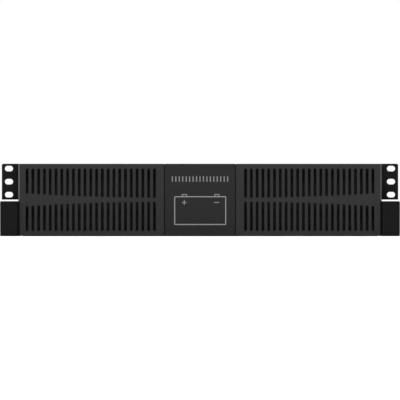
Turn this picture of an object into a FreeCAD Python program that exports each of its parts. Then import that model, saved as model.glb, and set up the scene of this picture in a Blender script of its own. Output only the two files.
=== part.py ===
import FreeCAD, Part
import math
import os
import re
import Sketcher

# Two-unit rack battery pack for an uninterruptible power supply.
# Model axes: +X to the right seen from the front, +Y from the front to the rear, +Z up.
# Every piece is drawn with y = 0 on the front edge of the steel case and z = 0 under the case.
# Its Placement then moves it so that the origin lies under the middle of the whole pack.

doc = FreeCAD.newDocument("RackBatteryPack")

# Driving sizes in millimetres (angles in degrees)

SIZES = {
    # folded sheet steel
    "sheet": 1.2,
    "bend": 2.0,
    "fit": 0.3,
    # sealed lead-acid battery, lying on its long side
    "battery_length": 151,
    "battery_width": 65,
    "battery_height": 94,
    "battery_round": 2.5,
    "vent_strip_length": 96,
    "vent_strip_width": 22,
    "vent_strip_rise": 0.8,
    "terminal_width": 6.35,
    "terminal_thick": 0.8,
    "terminal_height": 6.4,
    "terminal_inset": 12,
    # pull-out battery trays
    "wiring_gap": 24.4,
    "tray_clear": 0.8,
    "headroom": 17.4,
    "front_recess": 4.8,
    "window_width": 18,
    "window_sill": 5,
    "lid_lip": 14,
    "lid_screw_inset": 30,
    "thumb_radius": 3.8,
    "thumb_length": 7,
    "thumb_chamfer": 0.6,
    "thumb_inset": 26,
    # case
    "base_flange": 30,
    "riser_length": 66,
    "cover_lift": 0.6,
    "rail_gap": 1.1,
    "rail_depth": 14,
    "rear_flange": 12,
    "wiring_room": 46.7,
    # front bezel
    "bezel_depth": 22,
    "bezel_wall": 2.4,
    "bezel_over": 0.1,
    "bezel_rise": 0.5,
    "centre_width": 85.8,
    "seam": 0.6,
    "edge_chamfer": 1.85,
    "face_round": 0.7,
    "slot_width": 3.45,
    "slot_pitch": 7.04,
    "slot_margin_in": 11.9,
    "slot_margin_out": 9.5,
    "grille_margin": 6,
    "rib_inner": 5,
    "rib_outer": 16,
    "hook_width": 8,
    "hook_thick": 2,
    "hook_barb": 1,
    "hook_inset": 34,
    "tab_reach": 4,
    # rack ears
    "ear_sheet": 2,
    "ear_length": 60,
    "ear_reach": 20.3,
    "ear_rise": 0.6,
    "ear_slit": 1.9,
    "rack_edge": 8.75,
    "rack_top": 5.95,
    "rack_pitch": 15.875,
    "rack_below": 6,
    "rack_slot_length": 9.9,
    "rack_slot_width": 6.7,
    # pull handles
    "handle_depth": 31,
    "handle_gap": 0.7,
    "handle_proud": 1.9,
    "grip_thick": 8,
    "arm_thick": 7.5,
    "handle_web": 2,
    "grip_round": 4,
    "handle_round": 1.6,
    # machine screws
    "screw_radius": 2,
    "head_radius": 3.6,
    "head_height": 2,
    "screw_slack": 0.15,
    "screw_proud": 0.2,
    "handle_screw_bite": 10,
    "fitting_screw_length": 7.2,
    "earth_screw_bite": 5,
    "ear_screw_drop": 8,
    "cover_screw_front": 30,
    "cover_screw_rear": 60,
    # circuit breaker
    "breaker_inset": 67.8,
    "breaker_width": 38,
    "breaker_height": 62,
    "breaker_depth": 52,
    "breaker_boss_width": 34,
    "breaker_boss_height": 26,
    "breaker_boss_proud": 4,
    "stud_radius": 3,
    "stud_length": 6,
    "stud_spread": 19,
    "stud_rise": 22,
    "toggle_radius": 6,
    "toggle_width": 28,
    "toggle_reach": 13,
    "toggle_thick": 5,
    "toggle_throw": 40,
    # two-pole output connectors
    "connector_x": 62,
    "connector_pitch": 68,
    "flange_width": 60,
    "flange_height": 28,
    "flange_thick": 3,
    "shroud_width": 44,
    "shroud_height": 22,
    "shroud_proud": 14,
    "shroud_inside": 30,
    "shroud_wall": 3,
    "cavity_depth": 26,
    "contact_width": 8,
    "contact_thick": 2.4,
    "contact_length": 16,
    "tail_length": 6,
    "busbar_thick": 2,
    "busbar_height": 5,
    # fuse
    "fuse_x": -35,
    "fuse_setback": 34,
    "fuse_radius": 5.15,
    "fuse_length": 38,
    "fuse_axis": 14,
    "holder_length": 64,
    "holder_width": 22,
    # rear vents and earth screw
    "vent_inset": 29.8,
    "vent_count": 12,
    "vent_pitch": 9,
    "vent_width": 3.5,
    "vent_height": 50,
    "earth_inset": 22.8,
    "earth_z": 18,
    "washer_radius": 6,
    "washer_thick": 1,
    # wiring
    "wire_radius": 2.5,
    "wire_bend": 12,
    "sleeve_width": 9,
    "sleeve_nose": 2.5,
}

# Places and sizes that follow from the driving ones

LAYOUT = {
    # across
    "tray_width": "2 * battery_height + wiring_gap + 2 * fit + 2 * sheet",
    "tray_centre": "(tray_width + tray_clear) / 2",
    "body_half": "tray_width + 1.5 * tray_clear + 2 * sheet",
    "cover_inside": "body_half - sheet",
    "base_inside": "body_half - 2 * sheet",
    "bezel_half": "body_half + ear_sheet + bezel_over",
    "panel_edge": "centre_width / 2 + seam",
    "first_slot": "panel_edge + slot_margin_in",
    "slot_steps": "floor((bezel_half - first_slot - slot_margin_out) / slot_pitch)",
    "last_slot": "first_slot + slot_steps * slot_pitch",
    "ear_outer": "body_half + ear_sheet + ear_reach",
    "rack_x": "ear_outer - rack_edge",
    "handle_inner": "bezel_half + handle_gap",
    "handle_outer": "ear_outer + handle_proud",
    "breaker_x": "cover_inside - breaker_inset",
    "earth_x": "cover_inside - earth_inset",
    "vent_x": "vent_inset - cover_inside",
    # up
    "tray_floor": "2 * sheet",
    "battery_middle": "tray_floor + battery_width / 2",
    "tray_top": "tray_floor + battery_width + fit",
    "lid_top": "tray_top + sheet",
    "body_height": "lid_top + headroom + sheet",
    "cover_under": "body_height - sheet",
    "rail_bottom": "lid_top + rail_gap",
    "thumb_z": "rail_bottom + thumb_radius + fit",
    "lip_bottom": "thumb_z + thumb_radius + fit",
    "plate_top": "lip_bottom + 2 * fit",
    "bezel_top": "body_height + bezel_rise",
    "grille_bottom": "bezel_rise + grille_margin",
    "grille_top": "bezel_top - grille_margin",
    "grille_middle": "(grille_bottom + grille_top) / 2",
    "hook_top": "bezel_top - bezel_wall - hook_barb",
    "hook_bottom": "hook_top - hook_thick",
    "ear_height": "body_height + ear_rise",
    "rack_top_z": "ear_height - rack_top",
    "flange_bottom": "rack_top_z - 2 * rack_pitch - rack_below",
    "tab_top": "flange_bottom - ear_slit",
    "breaker_z": "body_height / 2",
    "connector_z": "body_height / 2",
    # front to rear
    "plate_back": "front_recess + sheet",
    "tray_length": "2 * battery_length + 3 * fit + 2 * sheet",
    "tray_back": "front_recess + tray_length",
    "rear_inside": "tray_back + breaker_depth + wiring_room",
    "body_depth": "rear_inside + sheet",
    "shroud_back": "body_depth - shroud_inside",
    "tail_end": "shroud_back - tail_length",
    "bay_middle": "tray_back + fuse_setback",
    "rear_proud": "max(shroud_proud; toggle_reach)",
    "origin_shift": "(handle_depth - body_depth - rear_proud) / 2",
    # screws
    "hole_radius": "screw_radius + screw_slack",
}


def formula(text):
    """The text with every size name pointed at its spreadsheet."""

    def point(match):
        name = match.group(0)
        if name in SIZES:
            return "Sizes." + name
        if name in LAYOUT:
            return "Layout." + name
        return name

    return re.sub(r"[a-z][a-z_]*", point, text)


def fill_sheets():
    """Writes the driving sizes and the layout formulas into two spreadsheets."""
    sizes = doc.addObject("Spreadsheet::Sheet", "Sizes")
    for row, (name, value) in enumerate(SIZES.items(), 1):
        sizes.set("A%d" % row, name)
        sizes.set("B%d" % row, str(value))
        sizes.setAlias("B%d" % row, name)
    layout = doc.addObject("Spreadsheet::Sheet", "Layout")
    for row, name in enumerate(LAYOUT, 1):
        layout.set("A%d" % row, name)
        layout.setAlias("B%d" % row, name)
    for row, text in enumerate(LAYOUT.values(), 1):
        own_names = formula(text).replace("Layout.", "")
        layout.set("B%d" % row, "=" + own_names)
    doc.recompute()
    return sizes, layout


sizes, layout = fill_sheets()


def size(name):
    """The number that a size or layout name stands for."""
    return float(getattr(sizes if name in SIZES else layout, name))


readout = doc.addObject("Spreadsheet::Sheet", "Readout")


def value_of(text):
    """The number behind a formula, read back through a spare spreadsheet."""
    readout.set("A1", "=" + formula(text))
    readout.recompute()
    return float(readout.get("A1"))


# Shared ways of drawing

PIECES = []
TOLERANCE = 1e-4


def bind(thing, path, text):
    thing.setExpression(path, formula(text))


def keep(piece, label):
    """Names a finished piece, moves it to the pack's origin and lists it for export."""
    piece.Label = label
    bind(piece, "Placement.Base.y", "origin_shift")
    PIECES.append(piece)
    return piece


def new_body(label):
    return keep(doc.addObject("PartDesign::Body", label), label)


def new_sketch(body, plane, name, lift="0"):
    """A sketch on one of the body's own planes, lifted along that plane's normal."""
    made = body.newObject("Sketcher::SketchObject", name)
    support = [f for f in body.Origin.OriginFeatures if f.Role == plane + "_Plane"][0]
    made.AttachmentSupport = [(support, "")]
    made.MapMode = "FlatFace"
    bind(made, "AttachmentOffset.Base.z", lift)
    return made


def tie(sketch, geometry, point, across, up):
    """Holds one point of a sketch at the two formulas."""
    for kind, text in (("DistanceX", across), ("DistanceY", up)):
        index = sketch.addConstraint(Sketcher.Constraint(kind, -1, 1, geometry, point, value_of(text)))
        bind(sketch, "Constraints[%d]" % index, text)


def spot(across, up):
    return FreeCAD.Vector(value_of(across), value_of(up), 0)


def polygon(sketch, corners):
    """A closed outline through corners given as pairs of formulas."""
    count = len(corners)
    spots = [spot(*corner) for corner in corners]
    lines = [
        sketch.addGeometry(Part.LineSegment(spots[i], spots[(i + 1) % count]), False)
        for i in range(count)
    ]
    for i, line in enumerate(lines):
        sketch.addConstraint(Sketcher.Constraint("Coincident", line, 2, lines[(i + 1) % count], 1))
        tie(sketch, line, 1, *corners[i])


def rectangle(sketch, left, bottom, right, top):
    polygon(sketch, [(left, bottom), (right, bottom), (right, top), (left, top)])


def block(sketch, across, up, width, height):
    """A rectangle given by its middle and its two sizes."""
    rectangle(
        sketch,
        "%s - (%s) / 2" % (across, width),
        "%s - (%s) / 2" % (up, height),
        "%s + (%s) / 2" % (across, width),
        "%s + (%s) / 2" % (up, height),
    )


def circle(sketch, across, up, radius):
    axis = FreeCAD.Vector(0, 0, 1)
    made = sketch.addGeometry(Part.Circle(spot(across, up), axis, value_of(radius)), False)
    tie(sketch, made, 3, across, up)
    index = sketch.addConstraint(Sketcher.Constraint("Radius", made, value_of(radius)))
    bind(sketch, "Constraints[%d]" % index, radius)


def obround(sketch, across, up, length, width):
    """A level slot with round ends."""
    axis = FreeCAD.Vector(0, 0, 1)
    quarter = math.pi / 2
    reach = "((%s) - (%s)) / 2" % (length, width)
    centres = ("%s + %s" % (across, reach), "%s - %s" % (across, reach))
    radius = value_of("(%s) / 2" % width)
    rise = FreeCAD.Vector(0, radius, 0)
    right_spot, left_spot = [spot(centre, up) for centre in centres]
    rings = [Part.Circle(centre, axis, radius) for centre in (right_spot, left_spot)]
    right = sketch.addGeometry(Part.ArcOfCircle(rings[0], -quarter, quarter), False)
    left = sketch.addGeometry(Part.ArcOfCircle(rings[1], quarter, 3 * quarter), False)
    top = sketch.addGeometry(Part.LineSegment(right_spot + rise, left_spot + rise), False)
    under = sketch.addGeometry(Part.LineSegment(left_spot - rise, right_spot - rise), False)
    joints = ((right, 2, top, 1), (top, 2, left, 1), (left, 2, under, 1), (under, 2, right, 1))
    for joint in joints:
        sketch.addConstraint(Sketcher.Constraint("Tangent", *joint))
    tie(sketch, right, 3, centres[0], up)
    tie(sketch, left, 3, centres[1], up)
    index = sketch.addConstraint(Sketcher.Constraint("Radius", right, radius))
    bind(sketch, "Constraints[%d]" % index, "(%s) / 2" % width)


def pad(body, sketch, length, against=False, both=False):
    """Adds the sketch's outline as material, along its normal or against it."""
    made = body.newObject("PartDesign::Pad", "pad")
    made.Profile = sketch
    bind(made, "Length", length)
    made.Reversed = against
    if both:
        made.SideType = "Symmetric"
    return made


def pocket(body, sketch, length=None, against=False, both=False):
    """Cuts the sketch's outline away, below its normal or above it, by a length or through all."""
    made = body.newObject("PartDesign::Pocket", "pocket")
    made.Profile = sketch
    if length is None:
        made.Type = "ThroughAll"
    else:
        bind(made, "Length", length)
    made.Reversed = against
    if both:
        made.SideType = "Symmetric"
    return made


def edges_at(shape, **planes):
    """Names of the edges that lie wholly at the given x, y or z."""
    names = []
    for place, edge in enumerate(shape.Edges, 1):
        box = edge.BoundBox
        low = {"x": box.XMin, "y": box.YMin, "z": box.ZMin}
        high = {"x": box.XMax, "y": box.YMax, "z": box.ZMax}
        ends = [end[axis] - at for axis, at in planes.items() for end in (low, high)]
        if all(abs(gap) < TOLERANCE for gap in ends):
            names.append("Edge%d" % place)
    return names


def soften(body, kind, amount, *places):
    """Rounds or chamfers the edges found at each place of the body's last shape."""
    doc.recompute()
    shape = body.Tip.Shape
    names = []
    for planes in places:
        found = edges_at(shape, **planes)
        if not found:
            raise ValueError("%s: no edge at %s" % (body.Label, planes))
        names += [name for name in found if name not in names]
    base = body.Tip
    made = body.newObject("PartDesign::" + kind, kind.lower())
    made.Base = (base, names)
    bind(made, "Radius" if kind == "Fillet" else "Size", amount)
    doc.recompute()
    return made


def solid_piece(label, shape):
    """A piece whose shape is made directly, where a feature tree doesn't suit it."""
    made = doc.addObject("Part::Feature", label)
    made.Shape = shape
    return keep(made, label)


def box(x, y, z):
    """A plain block between two values along each axis, in either order."""
    low = FreeCAD.Vector(min(x), min(y), min(z))
    return Part.makeBox(max(x) - low.x, max(y) - low.y, max(z) - low.z, low)


# Screws: a shank and a low round head turned about the screw's own axis

AXES = {"x": FreeCAD.Vector(1, 0, 0), "y": FreeCAD.Vector(0, 1, 0)}


def turned(profile, seat, direction):
    """Turns (distance along, radius) points about an axis through seat, towards direction."""
    points = [FreeCAD.Vector(radius, 0, along) for along, radius in profile]
    face = Part.Face(Part.makePolygon(points + points[:1]))
    shape = face.revolve(FreeCAD.Vector(), FreeCAD.Vector(0, 0, 1), 360)
    turn = FreeCAD.Rotation(FreeCAD.Vector(0, 0, 1), direction)
    return shape.transformed(FreeCAD.Placement(FreeCAD.Vector(*seat), turn).toMatrix(), True)


def pan_profile(length):
    """Points of a pan-head screw: the shank points along +, the head lies behind the seat."""
    shank, head, height = size("screw_radius"), size("head_radius"), size("head_height")
    return [
        (-height, 0),
        (-height, head * 0.8),
        (0, head),
        (0, shank),
        (length, shank),
        (length, 0),
    ]


def screw_group(label, profile, seats):
    """One node that holds a separate solid for each seat and direction."""
    return solid_piece(label, Part.makeCompound([turned(profile, *seat) for seat in seats]))


# Places that several pieces share, as formulas

EAR_SCREWS = (
    ("riser_length * 0.3", "base_flange * 0.7"),
    ("riser_length * 0.72", "base_flange * 0.7"),
    ("riser_length * 0.3", "rail_bottom - ear_screw_drop"),
    ("riser_length * 0.72", "rail_bottom - ear_screw_drop"),
)
COVER_SCREWS = (
    ("riser_length + cover_screw_front", "base_flange / 2"),
    ("body_depth * 0.52", "base_flange / 2"),
    ("body_depth - cover_screw_rear", "base_flange / 2"),
)
REAR_SCREW = ("rear_inside - rear_flange / 2", "body_height * 0.64")
HANDLE_SCREWS = ("arm_thick / 2", "tab_top - arm_thick / 2")
COUNTERSINK = "ear_sheet * 0.65"
HOOKS = ("panel_edge + hook_inset", "bezel_half - hook_inset")
THUMB_SCREWS = (
    "tray_centre - tray_width / 2 + thumb_inset",
    "tray_centre + tray_width / 2 - thumb_inset",
    "-tray_centre - tray_width / 2 + thumb_inset",
    "-tray_centre + tray_width / 2 - thumb_inset",
)
CONNECTORS = ("connector_x", "connector_x - connector_pitch")
FLANGE_SCREW = "(flange_width + shroud_width) / 4"
CAVITY_WIDTH = "(shroud_width - 3 * shroud_wall) / 2"
CONTACT_OFFSET = "(%s + shroud_wall) / 2" % CAVITY_WIDTH
CONTACT_BOTTOM = "connector_z - shroud_height / 2 + shroud_wall"
BREAKER_SCREW_RISE = "(breaker_height + breaker_boss_height) / 4"
BREAKER_SCREWS = tuple(
    ("breaker_x %s stud_spread / 2" % side, "breaker_z %s %s" % (level, BREAKER_SCREW_RISE))
    for side in ("-", "+")
    for level in ("-", "+")
)


# Steel case: a base pan, a cover that wraps it, a front rail and a rear panel

def side_holes(body, spots):
    """Round holes straight across the body for screws that run along x."""
    drawing = new_sketch(body, "YZ", "side_holes")
    for along, up in spots:
        circle(drawing, along, up, "hole_radius")
    pocket(body, drawing, both=True)


def chassis_base():
    body = new_body("chassis_base")
    profile = new_sketch(body, "XZ", "section")
    tall = "rail_bottom + 2 * thumb_radius"
    polygon(
        profile,
        [
            ("-cover_inside", "0"),
            ("cover_inside", "0"),
            ("cover_inside", tall),
            ("base_inside", tall),
            ("base_inside", "sheet"),
            ("-base_inside", "sheet"),
            ("-base_inside", tall),
            ("-cover_inside", tall),
        ],
    )
    pad(body, profile, "rear_inside", against=True)
    trim = new_sketch(body, "YZ", "flange_trim")
    rectangle(trim, "riser_length", "base_flange", "rear_inside", tall)
    pocket(body, trim, both=True)
    side_holes(body, EAR_SCREWS + COVER_SCREWS)
    outer, inner, floor = size("cover_inside"), size("base_inside"), size("sheet")
    soften(body, "Fillet", "bend", {"x": outer, "z": 0}, {"x": -outer, "z": 0})
    soften(body, "Fillet", "bend - sheet", {"x": inner, "z": floor}, {"x": -inner, "z": floor})
    soften(body, "Fillet", "base_flange / 6", {"y": size("riser_length"), "z": value_of(tall)})


def cover():
    body = new_body("cover")
    profile = new_sketch(body, "XZ", "section")
    polygon(
        profile,
        [
            ("-body_half", "cover_lift"),
            ("-body_half", "body_height"),
            ("body_half", "body_height"),
            ("body_half", "cover_lift"),
            ("cover_inside", "cover_lift"),
            ("cover_inside", "cover_under"),
            ("-cover_inside", "cover_under"),
            ("-cover_inside", "cover_lift"),
        ],
    )
    pad(body, profile, "body_depth", against=True)
    half, top = size("body_half"), size("body_height")
    inner, under = size("cover_inside"), size("cover_under")
    soften(body, "Fillet", "bend", {"x": half, "z": top}, {"x": -half, "z": top})
    soften(body, "Fillet", "bend - sheet", {"x": inner, "z": under}, {"x": -inner, "z": under})
    lip = new_sketch(body, "XZ", "front_lip")
    left, right = "-cover_inside + bend", "cover_inside - bend"
    rectangle(lip, left, "lip_bottom", right, "cover_under + sheet / 2")
    pad(body, lip, "sheet", against=True)
    windows = new_sketch(body, "XZ", "hook_windows")
    places = ["%s(%s)" % (sign, place) for place in HOOKS for sign in ("", "-")]
    for place in places + ["0"]:
        block(
            windows,
            place,
            "hook_bottom + (hook_thick - hook_barb) / 2",
            "hook_width + 2 * fit",
            "hook_thick + hook_barb + 2 * fit",
        )
    pocket(body, windows, "sheet")
    side_holes(body, EAR_SCREWS + COVER_SCREWS + (REAR_SCREW,))


def front_rail():
    """Tie across the mouth of the case; the trays are screwed to it."""
    body = new_body("front_rail")
    web = new_sketch(body, "XZ", "web", "-plate_back")
    rectangle(web, "-base_inside", "rail_bottom", "base_inside", "cover_under")
    pad(body, web, "rail_depth", against=True)
    hollow = new_sketch(body, "XZ", "hollow", "-plate_back - sheet")
    left, right = "-base_inside + sheet", "base_inside - sheet"
    rectangle(hollow, left, "rail_bottom - sheet", right, "cover_under - sheet")
    pocket(body, hollow, "rail_depth")
    holes = new_sketch(body, "XZ", "thumb_holes", "-plate_back")
    for across in THUMB_SCREWS:
        circle(holes, across, "thumb_z", "hole_radius")
    pocket(body, holes, "sheet")
    side, top = size("base_inside"), size("cover_under")
    soften(body, "Chamfer", "bend - sheet", {"x": side, "z": top}, {"x": -side, "z": top})


def rear_panel():
    body = new_body("rear_panel")
    web = new_sketch(body, "XZ", "web", "-rear_inside")
    rectangle(web, "-cover_inside", "0", "cover_inside", "cover_under")
    pad(body, web, "sheet", against=True)
    corner, top, foot = size("cover_inside"), size("cover_under"), 0
    soften(body, "Fillet", "bend", {"x": corner, "z": foot}, {"x": -corner, "z": foot})
    soften(body, "Fillet", "bend - sheet", {"x": corner, "z": top}, {"x": -corner, "z": top})
    flanges = new_sketch(body, "XZ", "flanges", "-rear_inside")
    rectangle(flanges, "-base_inside + bend", "sheet", "base_inside - bend", "2 * sheet")
    rectangle(flanges, "-base_inside + bend", "cover_under - sheet", "base_inside - bend", "cover_under")
    rectangle(flanges, "base_inside", "base_flange + fit", "cover_inside", "cover_under - bend")
    rectangle(flanges, "-cover_inside", "base_flange + fit", "-base_inside", "cover_under - bend")
    pad(body, flanges, "rear_flange")
    cuts = new_sketch(body, "XZ", "cut_outs", "-rear_inside")
    block(cuts, "breaker_x", "breaker_z", "breaker_boss_width + 2 * fit", "breaker_boss_height + 2 * fit")
    for across in CONNECTORS:
        block(cuts, across, "connector_z", "shroud_width + 2 * fit", "shroud_height + 2 * fit")
        for sign in ("-", "+"):
            circle(cuts, "%s %s %s" % (across, sign, FLANGE_SCREW), "connector_z", "hole_radius")
    for across, up in BREAKER_SCREWS:
        circle(cuts, across, up, "hole_radius")
    circle(cuts, "earth_x", "earth_z", "hole_radius")
    pocket(body, cuts, "sheet")
    vent = new_sketch(body, "XZ", "vent", "-rear_inside")
    block(vent, "vent_x", "breaker_z", "vent_width", "vent_height")
    first = pocket(body, vent, "sheet")
    row = body.newObject("PartDesign::LinearPattern", "vents")
    row.Originals = [first]
    row.Direction = (vent, ["H_Axis"])
    bind(row, "Length", "(vent_count - 1) * vent_pitch")
    bind(row, "Occurrences", "vent_count")
    body.Tip = row
    side_holes(body, (REAR_SCREW,))


# Front bezel: two slotted halves and a plain panel between them, all open at the back

def moulded_shell(body, left, right):
    """A hollow moulding from the front face back to the case, open behind."""
    face = new_sketch(body, "XZ", "face")
    rectangle(face, left, "bezel_rise", right, "bezel_top")
    pad(body, face, "bezel_depth")


def hollow_out(body, left, right):
    drawing = new_sketch(body, "XZ", "hollow")
    rectangle(
        drawing,
        left + " + bezel_wall",
        "bezel_rise + bezel_wall",
        right + " - bezel_wall",
        "bezel_top - bezel_wall",
    )
    pocket(body, drawing, "bezel_depth - bezel_wall", against=True)


def snap_fixings(body, places):
    """Snap hooks that pass through the cover's front lip, and plain tabs over the floor."""
    beams = new_sketch(body, "XZ", "hooks", "-sheet - fit - hook_thick")
    tips = new_sketch(body, "XZ", "barbs", "-sheet - fit - hook_thick")
    tabs = new_sketch(body, "XZ", "floor_tabs", "-tab_reach")
    for place in places:
        block(beams, place, "(hook_bottom + hook_top) / 2", "hook_width", "hook_thick")
        middle = "(hook_bottom - hook_barb + hook_top) / 2"
        block(tips, place, middle, "hook_width", "hook_thick + hook_barb")
        block(
            tabs,
            place,
            "(sheet + fit + bezel_rise + bezel_wall) / 2",
            "hook_width * 2",
            "bezel_rise + bezel_wall - sheet - fit",
        )
    pad(body, beams, "bezel_depth - bezel_wall / 2 + sheet + fit + hook_thick")
    pad(body, tips, "hook_thick")
    pad(body, tabs, "tab_reach + bezel_wall")


def bezel_half_shell(label, side):
    """One slotted half; side is -1 on the left and 1 on the right."""
    body = new_body(label)
    sign = "-" if side < 0 else ""
    ends = ("%spanel_edge" % sign, "%sbezel_half" % sign)
    left, right = ends if side > 0 else ends[::-1]
    moulded_shell(body, left, right)
    front, outer, seam = -size("bezel_depth"), side * size("bezel_half"), side * size("panel_edge")
    top, bottom = size("bezel_top"), size("bezel_rise")
    soften(body, "Chamfer", "edge_chamfer", {"x": outer, "y": front})
    soften(
        body,
        "Fillet",
        "face_round",
        {"x": seam, "y": front},
        {"z": top, "y": front},
        {"z": bottom, "y": front},
    )
    hollow_out(body, left, right)
    slot = new_sketch(body, "XZ", "slot", "bezel_depth")
    block(slot, "%sfirst_slot" % sign, "grille_middle", "slot_width", "grille_top - grille_bottom")
    first = pocket(body, slot, "2 * bezel_wall")
    row = body.newObject("PartDesign::LinearPattern", "slots")
    row.Originals = [first]
    row.Direction = (slot, ["H_Axis"])
    row.Reversed = side < 0
    bind(row, "Length", "slot_steps * slot_pitch")
    bind(row, "Occurrences", "slot_steps + 1")
    body.Tip = row
    middle_rib(body, side)
    snap_fixings(body, ["%s(%s)" % (sign, place) for place in HOOKS])


def middle_rib(body, side):
    """The level rib between the two rows of slots; its edges are arcs that widen it outwards."""
    drawing = new_sketch(body, "XZ", "rib", "bezel_depth")
    sign = "-" if side < 0 else ""
    inner_x = "%s(first_slot - slot_pitch / 2)" % sign
    outer_x = "%s(last_slot + slot_pitch / 2)" % sign
    x_in, x_out, middle = value_of(inner_x), value_of(outer_x), size("grille_middle")
    run = abs(x_out - x_in)
    rise = (size("rib_outer") - size("rib_inner")) / 2
    radius = (run * run + rise * rise) / (2 * rise)
    sweep = math.asin(run / radius)
    arc_ends = []
    for level in (1, -1):
        hub = FreeCAD.Vector(x_in, middle + level * (size("rib_inner") / 2 + radius), 0)
        straight = -level * math.pi / 2
        bounds = sorted((straight, straight + level * side * sweep))
        ring = Part.Circle(hub, FreeCAD.Vector(0, 0, 1), radius)
        arc = drawing.addGeometry(Part.ArcOfCircle(ring, *bounds), False)
        inner, outer = (1, 2) if level * side > 0 else (2, 1)
        tie(drawing, arc, inner, inner_x, "grille_middle + %d * rib_inner / 2" % level)
        tie(drawing, arc, outer, outer_x, "grille_middle + %d * rib_outer / 2" % level)
        drawing.addConstraint(Sketcher.Constraint("Vertical", arc, 3, arc, inner))
        arc_ends.append(((arc, inner), (arc, outer)))
    for upper, lower in zip(*arc_ends):
        side_line = Part.LineSegment(drawing.getPoint(*upper), drawing.getPoint(*lower))
        line = drawing.addGeometry(side_line, False)
        drawing.addConstraint(Sketcher.Constraint("Coincident", line, 1, *upper))
        drawing.addConstraint(Sketcher.Constraint("Coincident", line, 2, *lower))
    pad(body, drawing, "bezel_wall", against=True)


def centre_panel():
    body = new_body("centre_panel")
    moulded_shell(body, "-centre_width / 2", "centre_width / 2")
    front, half = -size("bezel_depth"), size("centre_width") / 2
    soften(body, "Fillet", "face_round", {"x": half, "y": front}, {"x": -half, "y": front})
    hollow_out(body, "-centre_width / 2", "centre_width / 2")
    snap_fixings(body, ["0"])


# Rack ears and pull handles

def rack_ear(label, side):
    """An L of thicker steel: a slotted flange above, a slit, and a tab below for the handle."""
    body = new_body(label)
    sign = "-" if side < 0 else ""
    profile = new_sketch(body, "XY", "section")
    polygon(
        profile,
        [
            ("%sbody_half" % sign, "0"),
            ("%sear_outer" % sign, "0"),
            ("%sear_outer" % sign, "ear_sheet"),
            ("%s(body_half + ear_sheet)" % sign, "ear_sheet"),
            ("%s(body_half + ear_sheet)" % sign, "ear_length"),
            ("%sbody_half" % sign, "ear_length"),
        ],
    )
    pad(body, profile, "ear_height")
    slit = new_sketch(body, "XZ", "slit")
    fold, edge = "%s(body_half + ear_sheet)" % sign, "%s(ear_outer + ear_sheet)" % sign
    rectangle(slit, fold, "tab_top", edge, "flange_bottom")
    pocket(body, slit, "ear_sheet * 2")
    slots = new_sketch(body, "XZ", "rack_slots")
    for step in range(3):
        up = "rack_top_z - %d * rack_pitch" % step
        obround(slots, "%srack_x" % sign, up, "rack_slot_length", "rack_slot_width")
    pocket(body, slots, "ear_sheet * 2")
    holes = new_sketch(body, "XZ", "handle_holes")
    for up in HANDLE_SCREWS:
        circle(holes, "%srack_x" % sign, up, "hole_radius")
    pocket(body, holes, "ear_sheet * 2")
    side_holes(body, EAR_SCREWS)
    face, outer = side * size("body_half"), side * size("ear_outer")
    soften(body, "Fillet", "ear_sheet * 0.9", {"x": face, "y": 0})
    top = size("ear_height")
    soften(body, "Fillet", "ear_sheet", {"x": outer, "z": top}, {"x": outer, "z": 0})
    countersink_rear(body)


def countersink_rear(body):
    """Cones in the ear's rear face, so that the handle's screws lie flush against the rack."""
    doc.recompute()
    back = size("ear_sheet")
    shape = body.Tip.Shape
    names = [
        name
        for name in edges_at(shape, y=back)
        if abs(shape.getElement(name).Length - 2 * math.pi * size("hole_radius")) < TOLERANCE
    ]
    base = body.Tip
    made = body.newObject("PartDesign::Chamfer", "countersinks")
    made.Base = (base, names)
    bind(made, "Size", COUNTERSINK)


def handle(label, side):
    """A moulded pull: a flat grip on two arms and an inner web, hollow for fingers from outside."""
    body = new_body(label)
    sign = "-" if side < 0 else ""
    profile = new_sketch(body, "YZ", "side_view", "%shandle_inner" % sign)
    polygon(
        profile,
        [
            ("0", "0"),
            ("0", "arm_thick"),
            ("-handle_depth + grip_thick", "arm_thick"),
            ("-handle_depth + grip_thick", "tab_top - arm_thick"),
            ("0", "tab_top - arm_thick"),
            ("0", "tab_top"),
            ("-handle_depth", "tab_top"),
            ("-handle_depth", "0"),
        ],
    )
    pad(body, profile, "handle_outer - handle_inner", against=side < 0)
    front, top = -size("handle_depth"), size("tab_top")
    throat = front + size("grip_thick")
    low, high = size("arm_thick"), top - size("arm_thick")
    soften(body, "Fillet", "grip_round", {"y": throat, "z": low}, {"y": throat, "z": high})
    web = new_sketch(body, "YZ", "inner_web", "%shandle_inner" % sign)
    rectangle(web, "-handle_depth + grip_thick / 2", "arm_thick / 2", "0", "tab_top - arm_thick / 2")
    pad(body, web, "handle_web", against=side < 0)
    inner, outer = side * size("handle_inner"), side * size("handle_outer")
    soften(
        body,
        "Fillet",
        "handle_round",
        {"x": inner, "y": front},
        {"x": outer, "y": front},
        {"y": front, "z": 0},
        {"y": front, "z": top},
        {"x": outer, "z": top},
        {"x": outer, "z": 0},
    )
    holes = new_sketch(body, "XZ", "screw_holes")
    for up in HANDLE_SCREWS:
        circle(holes, "%srack_x" % sign, up, "hole_radius")
    pocket(body, holes, "handle_screw_bite + fit", against=True)


# Battery trays, their lids and the batteries

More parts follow.
